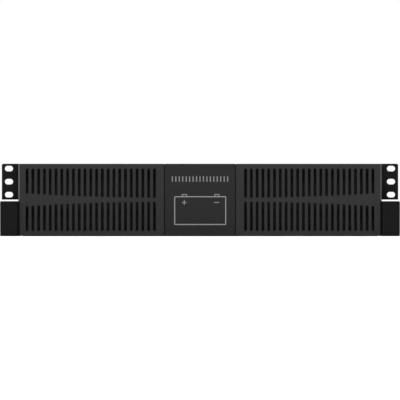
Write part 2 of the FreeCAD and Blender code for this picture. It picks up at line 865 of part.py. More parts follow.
def tray(label, side):
    body = new_body(label)
    middle = "%d * tray_centre" % side
    left, right = "%s - tray_width / 2" % middle, "%s + tray_width / 2" % middle
    outline = new_sketch(body, "XY", "outline", "sheet")
    rectangle(outline, left, "front_recess", right, "tray_back")
    pad(body, outline, "tray_top - sheet")
    inside = new_sketch(body, "XY", "inside", "tray_top")
    rectangle(inside, left + " + sheet", "front_recess + sheet", right + " - sheet", "tray_back - sheet")
    pocket(body, inside, "tray_top - tray_floor")
    plate = new_sketch(body, "XY", "front_plate", "tray_top - sheet")
    rectangle(plate, left, "front_recess", right, "plate_back")
    pad(body, plate, "plate_top - tray_top + sheet")
    window = new_sketch(body, "XZ", "lead_window", "-tray_back")
    rectangle(
        window,
        "%s - window_width / 2" % middle,
        "tray_floor + window_sill",
        "%s + window_width / 2" % middle,
        "tray_top + sheet",
    )
    pocket(body, window, "2 * sheet", against=True)
    holes = new_sketch(body, "XZ", "screw_holes", "-front_recess + sheet")
    for across in THUMB_SCREWS[:2] if side > 0 else THUMB_SCREWS[2:]:
        circle(holes, across, "thumb_z", "hole_radius")
    pocket(body, holes, "3 * sheet")
    rear_holes = new_sketch(body, "XZ", "lid_holes", "-tray_back")
    for across in lid_screw_places(side):
        circle(rear_holes, across, "tray_top - lid_lip / 2", "hole_radius")
    pocket(body, rear_holes, "2 * sheet", against=True)


def lid_screw_places(side):
    middle = "%d * tray_centre" % side
    return (
        "%s - tray_width / 2 + lid_screw_inset" % middle,
        "%s + tray_width / 2 - lid_screw_inset" % middle,
    )


def tray_lid(label, side):
    """A flat lid with one lip, folded down over the rear wall of its tray and screwed there."""
    body = new_body(label)
    middle = "%d * tray_centre" % side
    left, right = "%s - tray_width / 2" % middle, "%s + tray_width / 2" % middle
    top = new_sketch(body, "XY", "top", "tray_top")
    rectangle(top, left, "plate_back", right, "tray_back + sheet")
    pad(body, top, "sheet")
    lip = new_sketch(body, "XY", "lip", "lid_top")
    rectangle(lip, left, "tray_back", right, "tray_back + sheet")
    pad(body, lip, "lid_lip + sheet", against=True)
    notch = new_sketch(body, "XZ", "lead_notch", "-tray_back")
    block(notch, middle, "tray_top - lid_lip", "window_width", "2 * lid_lip")
    pocket(body, notch, "2 * sheet")
    holes = new_sketch(body, "XZ", "screw_holes", "-tray_back")
    for across in lid_screw_places(side):
        circle(holes, across, "tray_top - lid_lip / 2", "hole_radius")
    pocket(body, holes, "2 * sheet")


COLUMNS = (-1, 1)
ROWS = (0, 1)


def battery_seat(side, column, row):
    """Across and along of the middle of a battery's foot, before the move to the origin."""
    across = "%d * tray_centre + %d * (tray_width / 2 - sheet - fit)" % (side, column)
    along = "plate_back + fit + battery_length / 2 + %d * (battery_length + fit)" % row
    return across, along


def battery(label, side, column, row):
    """A sealed battery, drawn upright and laid on its side with its top towards the wiring gap."""
    body = new_body(label)
    case = new_sketch(body, "XY", "case")
    block(case, "0", "0", "battery_width", "battery_length")
    pad(body, case, "battery_height")
    half_width, half_length = size("battery_width") / 2, size("battery_length") / 2
    corners = [{"x": a * half_width, "y": b * half_length} for a in (-1, 1) for b in (-1, 1)]
    soften(body, "Fillet", "battery_round", *corners)
    strip = new_sketch(body, "XY", "vent_strip", "battery_height")
    block(strip, "0", "0", "vent_strip_width", "vent_strip_length")
    pad(body, strip, "vent_strip_rise")
    blades = new_sketch(body, "XY", "terminals", "battery_height")
    for end in (-1, 1):
        block(
            blades,
            "0",
            "%d * (battery_length / 2 - terminal_inset)" % end,
            "terminal_width",
            "terminal_thick",
        )
    pad(body, blades, "terminal_height")
    quarter_turn = FreeCAD.Rotation(FreeCAD.Vector(0, 1, 0), -90 * column)
    body.Placement = FreeCAD.Placement(FreeCAD.Vector(), quarter_turn)
    across, along = battery_seat(side, column, row)
    bind(body, "Placement.Base.x", across)
    bind(body, "Placement.Base.y", "origin_shift + " + along)
    bind(body, "Placement.Base.z", "battery_middle")


# Wiring: slip-on sleeves on the battery terminals and leads bent with tangent arcs

def terminal_spot(side, column, row, end):
    """Where a terminal leaves its battery's top, before the move to the origin."""
    across, along = [value_of(text) for text in battery_seat(side, column, row)]
    along += end * (size("battery_length") / 2 - size("terminal_inset"))
    return FreeCAD.Vector(across - column * size("battery_height"), along, size("battery_middle"))


def sleeve_tip():
    return size("terminal_height") + size("sleeve_nose")


def sleeve_block(spot, column):
    """The outside of an insulated receptacle on a terminal."""
    half, start = size("sleeve_width") / 2, size("fit") / 2
    return box(
        (spot.x - column * start, spot.x - column * sleeve_tip()),
        (spot.y - half, spot.y + half),
        (spot.z - half, spot.z + half),
    )


def blade_room(spot, column):
    """The space that a terminal blade needs inside its sleeve."""
    slack = size("fit") / 2
    thick, wide = size("terminal_thick") / 2 + slack, size("terminal_width") / 2 + slack
    return box(
        (spot.x, spot.x - column * (size("terminal_height") + slack)),
        (spot.y - thick, spot.y + thick),
        (spot.z - wide, spot.z + wide),
    )


def with_sleeves(wire, ends):
    """A wire with a receptacle at each end, given as (terminal spot, column)."""
    shape = wire.fuse([sleeve_block(*end) for end in ends])
    for end in ends:
        shape = shape.cut(blade_room(*end))
    return shape.removeSplitter()


def sleeve_middle(spot, column):
    reach = (size("fit") / 2 + sleeve_tip()) / 2
    return spot - FreeCAD.Vector(column * reach, 0, 0)


def tube(points):
    """A round wire along straight runs joined by tangent arcs as large as the runs allow."""
    points = [FreeCAD.Vector(*point) for point in points]
    edges, start = [], points[0]
    for before, corner, after in zip(points, points[1:], points[2:]):
        back, ahead = (before - corner).normalize(), (after - corner).normalize()
        half_turn = (math.pi - back.getAngle(ahead)) / 2
        shorter = min(before.distanceToPoint(corner), after.distanceToPoint(corner))
        setback = min(0.45 * shorter, size("wire_bend") * math.tan(half_turn))
        radius = setback / math.tan(half_turn)
        entry, leave = corner + back * setback, corner + ahead * setback
        bisector = (back + ahead).normalize()
        middle = corner + bisector * (radius / math.cos(half_turn) - radius)
        edges.append(Part.LineSegment(start, entry).toShape())
        edges.append(Part.Arc(entry, middle, leave).toShape())
        start = leave
    edges.append(Part.LineSegment(start, points[-1]).toShape())
    path = Part.Wire(edges)
    ring = Part.Circle(points[0], points[1] - points[0], size("wire_radius")).toShape()
    return path.makePipeShell([Part.Wire([ring])], True, False)


def battery_link(label, side, first, second):
    """A short straight jumper between two terminals, given as (column, row, end)."""
    ends = [(terminal_spot(side, *place), place[0]) for place in (first, second)]
    near, far = [sleeve_middle(*end) for end in ends]
    wire = Part.makeCylinder(size("wire_radius"), near.distanceToPoint(far), near, far - near)
    solid_piece(label, with_sleeves(wire, ends))


POSITIVE_END = (-1, 0, -1)
NEGATIVE_END = (1, 0, -1)


def gap_route(side, end, level):
    """From a tray's end terminal up or down, then back along the wiring gap and out of the tray."""
    start = sleeve_middle(terminal_spot(side, *end), end[0])
    rise = 1 if level > start.z else -1
    middle, step = side * size("tray_centre"), size("wire_bend")
    return [
        (start.x, start.y, start.z + rise * size("sleeve_width") / 2),
        (start.x, start.y, level - rise * step / 3),
        (middle, start.y + 2.2 * step, level),
        (middle, size("tray_back") + step / 3, level),
    ]


def lead(label, points, *ends):
    """A long wire; each end given as (side, place) gets a terminal sleeve."""
    shape = tube(points)
    if ends:
        shape = with_sleeves(shape, [(terminal_spot(side, *place), place[0]) for side, place in ends])
    solid_piece(label, shape)


def stud_end(pole, level):
    """The inner end of a breaker stud: pole -1 is the left one, level 1 the line side above."""
    return (
        size("breaker_x") + pole * size("stud_spread") / 2,
        size("rear_inside") - size("breaker_depth") - size("stud_length"),
        size("breaker_z") + level * size("stud_rise"),
    )


def battery_leads(high, low):
    """The leads that leave the trays: to the fuse, from tray to tray, and to the breaker."""
    step, back, bay = size("wire_bend"), size("tray_back"), size("bay_middle")
    centre, fuse_z = size("tray_centre"), size("fuse_axis")
    fuse_left = size("fuse_x") - size("holder_length") / 2
    right_pole, stud_y, line_z = stud_end(1, 1)
    lead(
        "positive_lead",
        gap_route(-1, POSITIVE_END, high)
        + [
            (-centre, bay - step / 3, high - 1.33 * step),
            (-centre + step, bay, fuse_z + step / 2),
            (fuse_left - 0.67 * step, bay, fuse_z),
            (fuse_left, bay, fuse_z),
        ],
        (-1, POSITIVE_END),
    )
    crossing = [
        (-centre, back + step, low),
        (-centre + 3 * step, back + 1.17 * step, low),
        (centre - 5 * step, back + 1.17 * step, low),
        (centre - 0.67 * step, back + 1.33 * step, high - 1.17 * step),
        (centre, back + step, high),
    ]
    lead(
        "middle_lead",
        gap_route(-1, NEGATIVE_END, low)[:-1] + crossing + gap_route(1, POSITIVE_END, high)[-2::-1],
        (-1, NEGATIVE_END),
        (1, POSITIVE_END),
    )
    lead(
        "negative_lead",
        gap_route(1, NEGATIVE_END, low)
        + [
            (centre + 1.83 * step, back + 0.75 * step, low),
            (right_pole - step / 4, back + 0.75 * step, line_z - 2.17 * step),
            (right_pole, back + 1.17 * step, line_z - step / 4),
            (right_pole, stud_y - 0.67 * step, line_z),
            (right_pole, stud_y, line_z),
        ],
        (1, NEGATIVE_END),
    )


def bay_leads():
    """The leads of the rear bay: from the fuse to the breaker, and on to the bus bars."""
    step, bay = size("wire_bend"), size("bay_middle")
    fuse_right, fuse_z = size("fuse_x") + size("holder_length") / 2, size("fuse_axis")
    left_pole, stud_y, line_z = stud_end(-1, 1)
    right_pole, stud_y, load_z = stud_end(1, -1)
    bar_y = size("tail_end") - size("busbar_thick")
    socket, between = size("connector_x"), size("connector_x") - size("connector_pitch") / 2
    plus_z, minus_z = busbar_levels()
    plus_tap, minus_tap = between + step / 6, between + 1.17 * step
    lead(
        "fuse_lead",
        [
            (fuse_right, bay, fuse_z),
            (fuse_right + 1.33 * step, bay, fuse_z),
            (fuse_right + 1.83 * step, bay - step / 6, fuse_z + 2.83 * step),
            (fuse_right + 4 * step, bay - 0.75 * step, line_z + 0.75 * step),
            (left_pole - 2.17 * step, bay - 1.5 * step, line_z + 0.75 * step),
            (left_pole, bay - 1.42 * step, line_z),
            (left_pole, stud_y, line_z),
        ],
    )
    lead(
        "load_lead_positive",
        [
            (left_pole, stud_y, load_z),
            (left_pole, stud_y - 1.08 * step, load_z),
            (left_pole - 1.83 * step, stud_y - 1.42 * step, load_z + 0.83 * step),
            (socket, stud_y - 0.67 * step, plus_z),
            (plus_tap, stud_y + step / 6, plus_z),
            (plus_tap, bar_y, plus_z),
        ],
    )
    lead(
        "load_lead_negative",
        [
            (right_pole, stud_y, load_z),
            (right_pole, stud_y - 1.08 * step, load_z),
            (right_pole - 2.08 * step, stud_y - 1.5 * step, load_z - 0.83 * step),
            (left_pole - 3.33 * step, stud_y - 1.17 * step, load_z - 0.83 * step),
            (socket, stud_y - step / 3, minus_z - 0.67 * step),
            (minus_tap, stud_y + step / 3, minus_z),
            (minus_tap, bar_y, minus_z),
        ],
    )


def wiring():
    """Series links in each tray, then the leads of the trays and of the rear bay."""
    for side, name in ((-1, "left"), (1, "right")):
        battery_link("link_%s_outer" % name, side, (-1, 0, 1), (-1, 1, -1))
        battery_link("link_%s_rear" % name, side, (-1, 1, 1), (1, 1, 1))
        battery_link("link_%s_inner" % name, side, (1, 1, -1), (1, 0, 1))
    high = size("tray_top") - size("wire_bend")
    low = size("tray_floor") + size("window_sill") + 2 * size("wire_radius")
    battery_leads(high, low)
    bay_leads()


# Rear fittings: output connectors, bus bars, breaker, fuse and earth screw

def connector(label, across):
    """A two-pole socket: flange outside the panel, shroud through it, two open cavities."""
    body = new_body(label)
    shroud = new_sketch(body, "XZ", "shroud", "-shroud_back")
    block(shroud, across, "connector_z", "shroud_width", "shroud_height")
    pad(body, shroud, "shroud_inside + shroud_proud", against=True)
    flange = new_sketch(body, "XZ", "flange", "-body_depth")
    block(flange, across, "connector_z", "flange_width", "flange_height")
    pad(body, flange, "flange_thick", against=True)
    cavities = new_sketch(body, "XZ", "cavities", "-body_depth - shroud_proud")
    slots = new_sketch(body, "XZ", "contact_slots", "-shroud_back")
    for sign in ("-", "+"):
        middle = "%s %s %s" % (across, sign, CONTACT_OFFSET)
        block(cavities, middle, "connector_z", CAVITY_WIDTH, "shroud_height - 2 * shroud_wall")
        level = CONTACT_BOTTOM + " + contact_thick / 2"
        block(slots, middle, level, "contact_width", "contact_thick")
    pocket(body, cavities, "cavity_depth", against=True)
    pocket(body, slots, "shroud_inside")
    holes = new_sketch(body, "XZ", "screw_holes", "-body_depth")
    for sign in ("-", "+"):
        circle(holes, "%s %s %s" % (across, sign, FLANGE_SCREW), "connector_z", "hole_radius")
    pocket(body, holes, "flange_thick")


def connector_middles():
    return [value_of(across) for across in CONNECTORS]


def busbar_levels():
    """Middle heights of the positive and the negative bus bar."""
    low, height = value_of(CONTACT_BOTTOM), size("busbar_height")
    return low + size("contact_thick") + 1.5 * height, low - height


def contacts():
    """Four flat contacts; each tail turns up to the positive bar or down to the negative one."""
    half, thick = size("contact_width") / 2, size("contact_thick")
    mouth = size("body_depth") + size("shroud_proud") - size("cavity_depth")
    low, plate = value_of(CONTACT_BOTTOM), size("busbar_thick")
    end, half_bar = size("tail_end"), size("busbar_height") / 2
    plus_z, minus_z = busbar_levels()
    shapes = []
    for middle in connector_middles():
        for pole, reach in ((-1, plus_z + half_bar), (1, minus_z - half_bar)):
            across = middle + pole * value_of(CONTACT_OFFSET)
            sides = (across - half, across + half)
            blade = box(sides, (end, mouth + size("contact_length")), (low, low + thick))
            tail = box(sides, (end, end + plate), (low if pole < 0 else low + thick, reach))
            shapes.append(blade.fuse(tail).removeSplitter())
    solid_piece("connector_contacts", Part.makeCompound(shapes))


def busbars():
    """Two copper strips that join the connectors' contacts, pole by pole."""
    end, thick, half_bar = size("tail_end"), size("busbar_thick"), size("busbar_height") / 2
    first, second = connector_middles()
    for label, pole, level in zip(("busbar_positive", "busbar_negative"), (-1, 1), busbar_levels()):
        half = size("contact_width") / 2
        offset = pole * value_of(CONTACT_OFFSET)
        across = (second + offset - half, first + offset + half)
        solid_piece(label, box(across, (end - thick, end), (level - half_bar, level + half_bar)))


def breaker():
    body = new_body("breaker_body")
    case = new_sketch(body, "XZ", "case", "-rear_inside")
    block(case, "breaker_x", "breaker_z", "breaker_width", "breaker_height")
    pad(body, case, "breaker_depth")
    boss = new_sketch(body, "XZ", "boss", "-rear_inside")
    block(boss, "breaker_x", "breaker_z", "breaker_boss_width", "breaker_boss_height")
    pad(body, boss, "sheet + breaker_boss_proud", against=True)
    studs = new_sketch(body, "XZ", "studs", "-rear_inside + breaker_depth")
    for side in ("-", "+"):
        for level in ("-", "+"):
            across = "breaker_x %s stud_spread / 2" % side
            circle(studs, across, "breaker_z %s stud_rise" % level, "stud_radius")
    pad(body, studs, "stud_length")
    drum = new_sketch(body, "YZ", "toggle_drum", "breaker_x")
    circle(drum, "body_depth", "breaker_z", "toggle_radius + fit")
    pocket(body, drum, "toggle_width + 2 * fit", both=True)
    mouth = new_sketch(body, "YZ", "toggle_mouth", "breaker_x")
    rectangle(
        mouth,
        "body_depth",
        "breaker_z - toggle_radius - fit",
        "body_depth + 2 * breaker_boss_proud",
        "breaker_z + toggle_radius + fit",
    )
    pocket(body, mouth, "toggle_width + 2 * fit", both=True)
    holes = new_sketch(body, "XZ", "screw_holes", "-rear_inside")
    for across, up in BREAKER_SCREWS:
        circle(holes, across, up, "hole_radius")
    pocket(body, holes, "fitting_screw_length", against=True)


def breaker_toggle():
    """A drum with a flat lever, drawn level about its pivot and set at the lower end of its throw."""
    body = new_body("breaker_toggle")
    drum = new_sketch(body, "YZ", "drum")
    circle(drum, "0", "0", "toggle_radius")
    pad(body, drum, "toggle_width", both=True)
    lever = new_sketch(body, "YZ", "lever")
    polygon(
        lever,
        [
            ("0", "-toggle_thick / 2"),
            ("toggle_reach", "-toggle_thick / 3"),
            ("toggle_reach", "toggle_thick / 3"),
            ("0", "toggle_thick / 2"),
        ],
    )
    pad(body, lever, "toggle_width", both=True)
    tilt = FreeCAD.Rotation(FreeCAD.Vector(1, 0, 0), -size("toggle_throw") / 2)
    body.Placement = FreeCAD.Placement(FreeCAD.Vector(), tilt)
    bind(body, "Placement.Base.x", "breaker_x")
    bind(body, "Placement.Base.y", "origin_shift + body_depth")
    bind(body, "Placement.Base.z", "breaker_z")


def fuse_and_holder():
    """A cartridge fuse lying in the trough of a block on the case floor."""
    body = new_body("fuse_holder")
    block_outline = new_sketch(body, "XY", "outline", "sheet")
    block(block_outline, "fuse_x", "bay_middle", "holder_length", "holder_width")
    pad(body, block_outline, "fuse_axis + fuse_radius - sheet")
    trough = new_sketch(body, "YZ", "trough", "fuse_x")
    circle(trough, "bay_middle", "fuse_axis", "fuse_radius")
    pocket(body, trough, "fuse_length + 2 * fit", both=True)
    mouth = new_sketch(body, "YZ", "mouth", "fuse_x")
    rectangle(
        mouth,
        "bay_middle - fuse_radius",
        "fuse_axis",
        "bay_middle + fuse_radius",
        "fuse_axis + 2 * fuse_radius",
    )
    pocket(body, mouth, "fuse_length + 2 * fit", both=True)
    cartridge = new_body("fuse")
    section = new_sketch(cartridge, "YZ", "section", "fuse_x")
    circle(section, "bay_middle", "fuse_axis", "fuse_radius - fit / 3")
    pad(cartridge, section, "fuse_length", both=True)


def earth_screw():
    """The pack's earthing screw with its washer, outside the rear panel."""
    seat = (size("earth_x"), size("body_depth") + size("washer_thick"), size("earth_z"))
    length = size("sheet") + size("washer_thick") + size("earth_screw_bite")
    screw_group("earth_screw", pan_profile(length), [(seat, -AXES["y"])])
    outer, inner, thick = size("washer_radius"), size("hole_radius"), size("washer_thick")
    ring = turned([(0, inner), (0, outer), (thick, outer), (thick, inner)], seat, -AXES["y"])
    solid_piece("earth_washer", ring)


# Fasteners, seated where the holes are

def side_seats(spots, seat_x):
    """Screw seats on both sides of the case, pointing inwards."""
    return [
        ((sign * seat_x, value_of(along), value_of(up)), AXES["x"] * -sign)
        for along, up in spots
        for sign in (-1, 1)
    ]


def fasteners():
    sheet, half, proud = size("sheet"), size("body_half"), size("screw_proud")
    ear_face = half + size("ear_sheet")
    screw_group(
        "ear_screws",
        pan_profile(size("ear_sheet") + 2 * sheet + proud),
        side_seats(EAR_SCREWS, ear_face),
    )
    screw_group(
        "cover_screws", pan_profile(2 * sheet + proud), side_seats(COVER_SCREWS + (REAR_SCREW,), half)
    )
    shank, depth, bite = size("screw_radius"), size("ear_sheet"), size("handle_screw_bite")
    cone = size("hole_radius") + value_of(COUNTERSINK) - size("fit") / 2
    flush = [(0, 0), (0, cone), (cone - shank, shank), (depth + bite, shank), (depth + bite, 0)]
    screw_group(
        "handle_screws",
        flush,
        [
            ((sign * size("rack_x"), depth, value_of(up)), -AXES["y"])
            for up in HANDLE_SCREWS
            for sign in (-1, 1)
        ],
    )
    thumb, length, slope = size("thumb_radius"), size("thumb_length"), size("thumb_chamfer")
    shank_end = 2 * sheet + 5 * proud
    screw_group(
        "tray_screws",
        [
            (-length, 0),
            (-length, thumb - slope),
            (-length + slope, thumb),
            (0, thumb),
            (0, shank),
            (shank_end, shank),
            (shank_end, 0),
        ],
        [
            ((value_of(across), size("front_recess"), size("thumb_z")), AXES["y"])
            for across in THUMB_SCREWS
        ],
    )
    lip_face, lip_middle = size("tray_back") + sheet, size("tray_top") - size("lid_lip") / 2
    screw_group(
        "lid_screws",
        pan_profile(2 * sheet + size("fit") / 3),
        [
            ((value_of(across), lip_face, lip_middle), -AXES["y"])
            for side in (-1, 1)
            for across in lid_screw_places(side)
        ],
    )
    flange_face = size("body_depth") + size("flange_thick")
    offset = value_of(FLANGE_SCREW)
    seats = [
        ((value_of(across), size("body_depth"), value_of(up)), -AXES["y"])
        for across, up in BREAKER_SCREWS
    ]
    seats += [
        ((middle + sign * offset, flange_face, size("connector_z")), -AXES["y"])
        for middle in connector_middles()
        for sign in (-1, 1)
    ]
    screw_group("fitting_screws", pan_profile(size("fitting_screw_length")), seats)


# Build, check and export

def build():
    chassis_base()
    cover()
    front_rail()
    rear_panel()
    for name, side in (("left", -1), ("right", 1)):
        bezel_half_shell("bezel_" + name, side)
        rack_ear("ear_" + name, side)
        handle("handle_" + name, side)
        tray("tray_" + name, side)
        tray_lid("tray_lid_" + name, side)
        for column in COLUMNS:
            for row in ROWS:
                battery("battery_%s_%d" % (name, 2 + row + column), side, column, row)
    centre_panel()
    for count, across in enumerate(CONNECTORS, 1):
        connector("output_connector_%d" % count, across)
    contacts()
    busbars()
    breaker()
    breaker_toggle()
    fuse_and_holder()
    earth_screw()
    fasteners()
    wiring()


def check_and_export():
    """Stops on any failed feature or bad shape, then writes one STEP file for each piece."""
    doc.recompute()
    failed = [o.Label for o in doc.Objects if {"Invalid", "Error"} & set(o.State)]
    bad = [p.Label for p in PIECES if p.Shape.isNull() or not p.Shape.isValid() or not p.Shape.Solids]
    if failed or bad:
        raise RuntimeError("failed features: %s; bad shapes: %s" % (failed, bad))
    os.makedirs("parts", exist_ok=True)
    for piece in PIECES:
        piece.Shape.exportStep(os.path.join("parts", piece.Label + ".step"))


build()
check_and_export()
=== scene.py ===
import math
from collections import namedtuple

import bmesh
import bpy
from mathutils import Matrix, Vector


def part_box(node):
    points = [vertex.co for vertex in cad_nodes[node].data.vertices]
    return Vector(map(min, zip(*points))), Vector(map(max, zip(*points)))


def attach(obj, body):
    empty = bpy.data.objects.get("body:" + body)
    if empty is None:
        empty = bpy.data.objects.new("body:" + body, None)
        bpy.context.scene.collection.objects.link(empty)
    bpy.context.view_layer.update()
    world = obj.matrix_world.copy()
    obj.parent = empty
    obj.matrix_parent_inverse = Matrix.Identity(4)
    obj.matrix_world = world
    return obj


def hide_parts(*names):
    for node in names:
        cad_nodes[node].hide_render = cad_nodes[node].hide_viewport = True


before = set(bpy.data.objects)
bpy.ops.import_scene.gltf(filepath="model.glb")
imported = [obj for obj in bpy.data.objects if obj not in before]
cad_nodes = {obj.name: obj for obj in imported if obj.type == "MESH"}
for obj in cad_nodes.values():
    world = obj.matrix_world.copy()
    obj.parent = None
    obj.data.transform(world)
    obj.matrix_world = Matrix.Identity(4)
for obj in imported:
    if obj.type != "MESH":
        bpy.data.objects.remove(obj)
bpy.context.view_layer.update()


# The case: a base pan, a front rail and a rear panel folded from thin sheet steel,
# spot-welded together and baked in black powder paint. The cut edges are barely eased.
SHEET_EDGE = 0.00018
EDGE_STEPS = 2
# An edge that turns more than the first is eased, and faces that turn less than the second
# are joined into one flat.
SHARP_TURN = math.radians(38)
FLAT_TURN = math.radians(0.5)
FLAT_WEIGHT = 90
MERGE_REACH = 0.000002
NOISE_SPAN = (0.32, 0.68)
CASE_DARK = (0.0075, 0.0075, 0.008)
CASE_LIGHT = (0.0105, 0.0105, 0.011)
CASE_SHINE = 0.22


def feed(tree, node, inputs):
    """Fills a node's inputs: a socket, or each socket of a list, is linked, and a value is set."""
    for label, value in inputs.items():
        for source in value if isinstance(value, list) else [value]:
            if isinstance(source, bpy.types.NodeSocket):
                tree.links.new(source, node.inputs[label])
            else:
                node.inputs[label].default_value = source


def add_node(tree, kind, inputs, **settings):
    """Adds a node with its settings and its inputs, and gives its outputs."""
    node = tree.nodes.new(kind)
    for label, value in settings.items():
        setattr(node, label, value)
    feed(tree, node, inputs)
    return node.outputs


def new_finish(name):
    """An empty node material: gives it with its tree and its main shader."""
    material = bpy.data.materials.new(name)
    material.use_nodes = True
    return material, material.node_tree, material.node_tree.nodes["Principled BSDF"]


def noise(tree, grains, detail=2.0, stretch=(1, 1, 1)):
    """Noise on the piece's own coordinates, with a stated number of grains to the metre."""
    place = add_node(tree, "ShaderNodeTexCoord", {})["Object"]
    laid = add_node(tree, "ShaderNodeMapping", {"Vector": place, "Scale": stretch})["Vector"]
    grain = {"Vector": laid, "Scale": grains, "Detail": detail}
    return add_node(tree, "ShaderNodeTexNoise", grain)["Fac"]


def ramp(tree, source, span, low, high, **settings):
    """Turns a number that runs over a span into one that goes from low to high."""
    start, end = span
    ends = {"From Min": start, "From Max": end, "To Min": low, "To Max": high}
    return add_node(tree, "ShaderNodeMapRange", {"Value": source, **ends}, **settings)["Result"]


def spread(tree, source, low, high):
    """Turns noise, which seldom leaves the middle of its range, into a number from low to high."""
    return ramp(tree, source, NOISE_SPAN, low, high)


def tones(tree, source, dark, light):
    """Turns noise into a colour between two tones."""
    ends = {"Factor": spread(tree, source, 0, 1), "A": (*dark, 1), "B": (*light, 1)}
    return add_node(tree, "ShaderNodeMix", ends, data_type="RGBA")["Result"]


def relief(tree, source, depth, over=None):
    """Bumps of a stated depth in metres, laid over coarser bumps if there are any."""
    bumps = {"Strength": 1.0, "Distance": depth, "Height": source}
    if over is not None:
        bumps["Normal"] = over
    return add_node(tree, "ShaderNodeBump", bumps)["Normal"]


def powder_paint(name, dark, light, shine):
    """Baked powder paint: a low orange peel with a fine dry grain on top."""
    material, tree, shader = new_finish(name)
    cloud = noise(tree, grains=9, detail=3)
    grain = noise(tree, grains=2400)
    peel = relief(tree, noise(tree, grains=480, detail=1), depth=0.00004)
    surface = {
        "Base Color": tones(tree, cloud, dark, light),
        "Roughness": spread(tree, grain, low=0.5, high=0.64),
        "Normal": relief(tree, grain, depth=0.000022, over=peel),
        "Specular IOR Level": shine,
    }
    feed(tree, shader, surface)
    return material


def plain_copy(name):
    """A working copy of a carried-over mesh, with its loose triangles joined into flat faces."""
    mesh = cad_nodes[name].data.copy()
    if "custom_normal" in mesh.attributes:
        mesh.attributes.remove(mesh.attributes["custom_normal"])
    work = bmesh.new()
    work.from_mesh(mesh)
    bmesh.ops.remove_doubles(work, verts=work.verts, dist=MERGE_REACH)
    bmesh.ops.dissolve_limit(work, angle_limit=FLAT_TURN, verts=work.verts, edges=work.edges)
    for face in work.faces:
        face.smooth = True
    work.to_mesh(mesh)
    work.free()
    mesh.materials.clear()
    return mesh


def show(name, data):
    """Puts a mesh, a lamp or a camera into the scene as a thing of its own."""
    thing = bpy.data.objects.new(name, data)
    bpy.context.scene.collection.objects.link(thing)
    return thing


def settle(piece):
    """Turns a piece and its modifiers into one plain mesh."""
    whole = piece.evaluated_get(bpy.context.evaluated_depsgraph_get())
    plain = bpy.data.meshes.new_from_object(whole)
    piece.modifiers.clear()
    piece.data = plain


def stand_for(piece, node, body="pack"):
    """Lets a finished piece stand for a carried-over one, on the body that carries it."""
    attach(piece, body)
    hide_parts(node)


def eased(name, width, finish, body="pack"):
    """Stands a copy of a piece in its place, with each sharp edge eased by a small round."""
    piece = show(name + "_eased", plain_copy(name))
    piece.data.materials.append(finish)
    edge = piece.modifiers.new("edge", "BEVEL")
    edge.width = width
    edge.segments = EDGE_STEPS
    edge.limit_method = "ANGLE"
    edge.angle_limit = SHARP_TURN
    edge.use_clamp_overlap = True
    flats = piece.modifiers.new("flats", "WEIGHTED_NORMAL")
    flats.mode = "FACE_AREA"
    flats.weight = FLAT_WEIGHT
    settle(piece)
    stand_for(piece, name, body)


def dress(finish, *names):
    """Gives pieces that are carried over as they are their finish."""
    for name in names:
        cad_nodes[name].data.materials.clear()
        cad_nodes[name].data.materials.append(finish)


case_paint = powder_paint("case_powder_paint", CASE_DARK, CASE_LIGHT, CASE_SHINE)
eased("chassis_base", SHEET_EDGE, case_paint)
eased("rear_panel", SHEET_EDGE, case_paint)
dress(case_paint, "front_rail")


# The two battery trays and their lids: folded from the same coated sheet, slid in from
# the front and held by two thumb screws each. The lids are screwed down over the batteries.
dress(case_paint, "tray_left", "tray_right", "tray_lid_left", "tray_lid_right")


# The batteries: sealed lead-acid blocks in moulded dark grey cases, laid on their sides
# in two rows in each tray, with their terminals towards the wiring gap between the rows.
BATTERY_DARK = (0.03, 0.03, 0.034)
BATTERY_LIGHT = (0.04, 0.04, 0.045)


def battery_plastic():
    """Moulded case plastic with a soft grain, a little cloudy."""
    material, tree, shader = new_finish("battery_case")
    cloud = noise(tree, grains=14)
    grain = noise(tree, grains=1500, detail=1)
    surface = {
        "Base Color": tones(tree, cloud, BATTERY_DARK, BATTERY_LIGHT),
        "Roughness": spread(tree, grain, low=0.38, high=0.52),
        "Normal": relief(tree, grain, depth=0.00002),
    }
    feed(tree, shader, surface)
    return material


def all_named(start):
    """The names of the carried-over pieces that begin alike."""
    return [name for name in cad_nodes if name.startswith(start)]


dress(battery_plastic(), *all_named("battery_"))


# The wiring: stranded copper in red and black insulation, with a moulded sleeve pushed
# over each battery terminal. The jumpers join the batteries of a tray in a row.
RED_DARK = (0.3, 0.012, 0.01)
RED_LIGHT = (0.4, 0.02, 0.015)
BLACK_DARK = (0.009, 0.009, 0.009)
BLACK_LIGHT = (0.015, 0.015, 0.015)


def insulation(name, dark, light):
    """Soft wire insulation, scuffed here and there."""
    material, tree, shader = new_finish(name)
    scuff = noise(tree, grains=60, detail=4)
    surface = {
        "Base Color": tones(tree, scuff, dark, light),
        "Roughness": spread(tree, scuff, low=0.34, high=0.5),
        "Normal": relief(tree, noise(tree, grains=900), depth=0.00002),
    }
    feed(tree, shader, surface)
    return material


red_wire = insulation("red_insulation", RED_DARK, RED_LIGHT)
black_wire = insulation("black_insulation", BLACK_DARK, BLACK_LIGHT)
dress(red_wire, "positive_lead", "fuse_lead", "load_lead_positive")
dress(black_wire, "negative_lead", "middle_lead", "load_lead_negative", *all_named("link_"))


# The fuse: a white ceramic cartridge that snaps into a black moulded block, which is
# screwed to the floor of the case behind the trays.
CERAMIC_DARK = (0.66, 0.64, 0.58)
CERAMIC_LIGHT = (0.75, 0.74, 0.69)
HOLDER_DARK = (0.014, 0.014, 0.014)
HOLDER_LIGHT = (0.02, 0.02, 0.02)
FILLED_SPREAD = 0.06


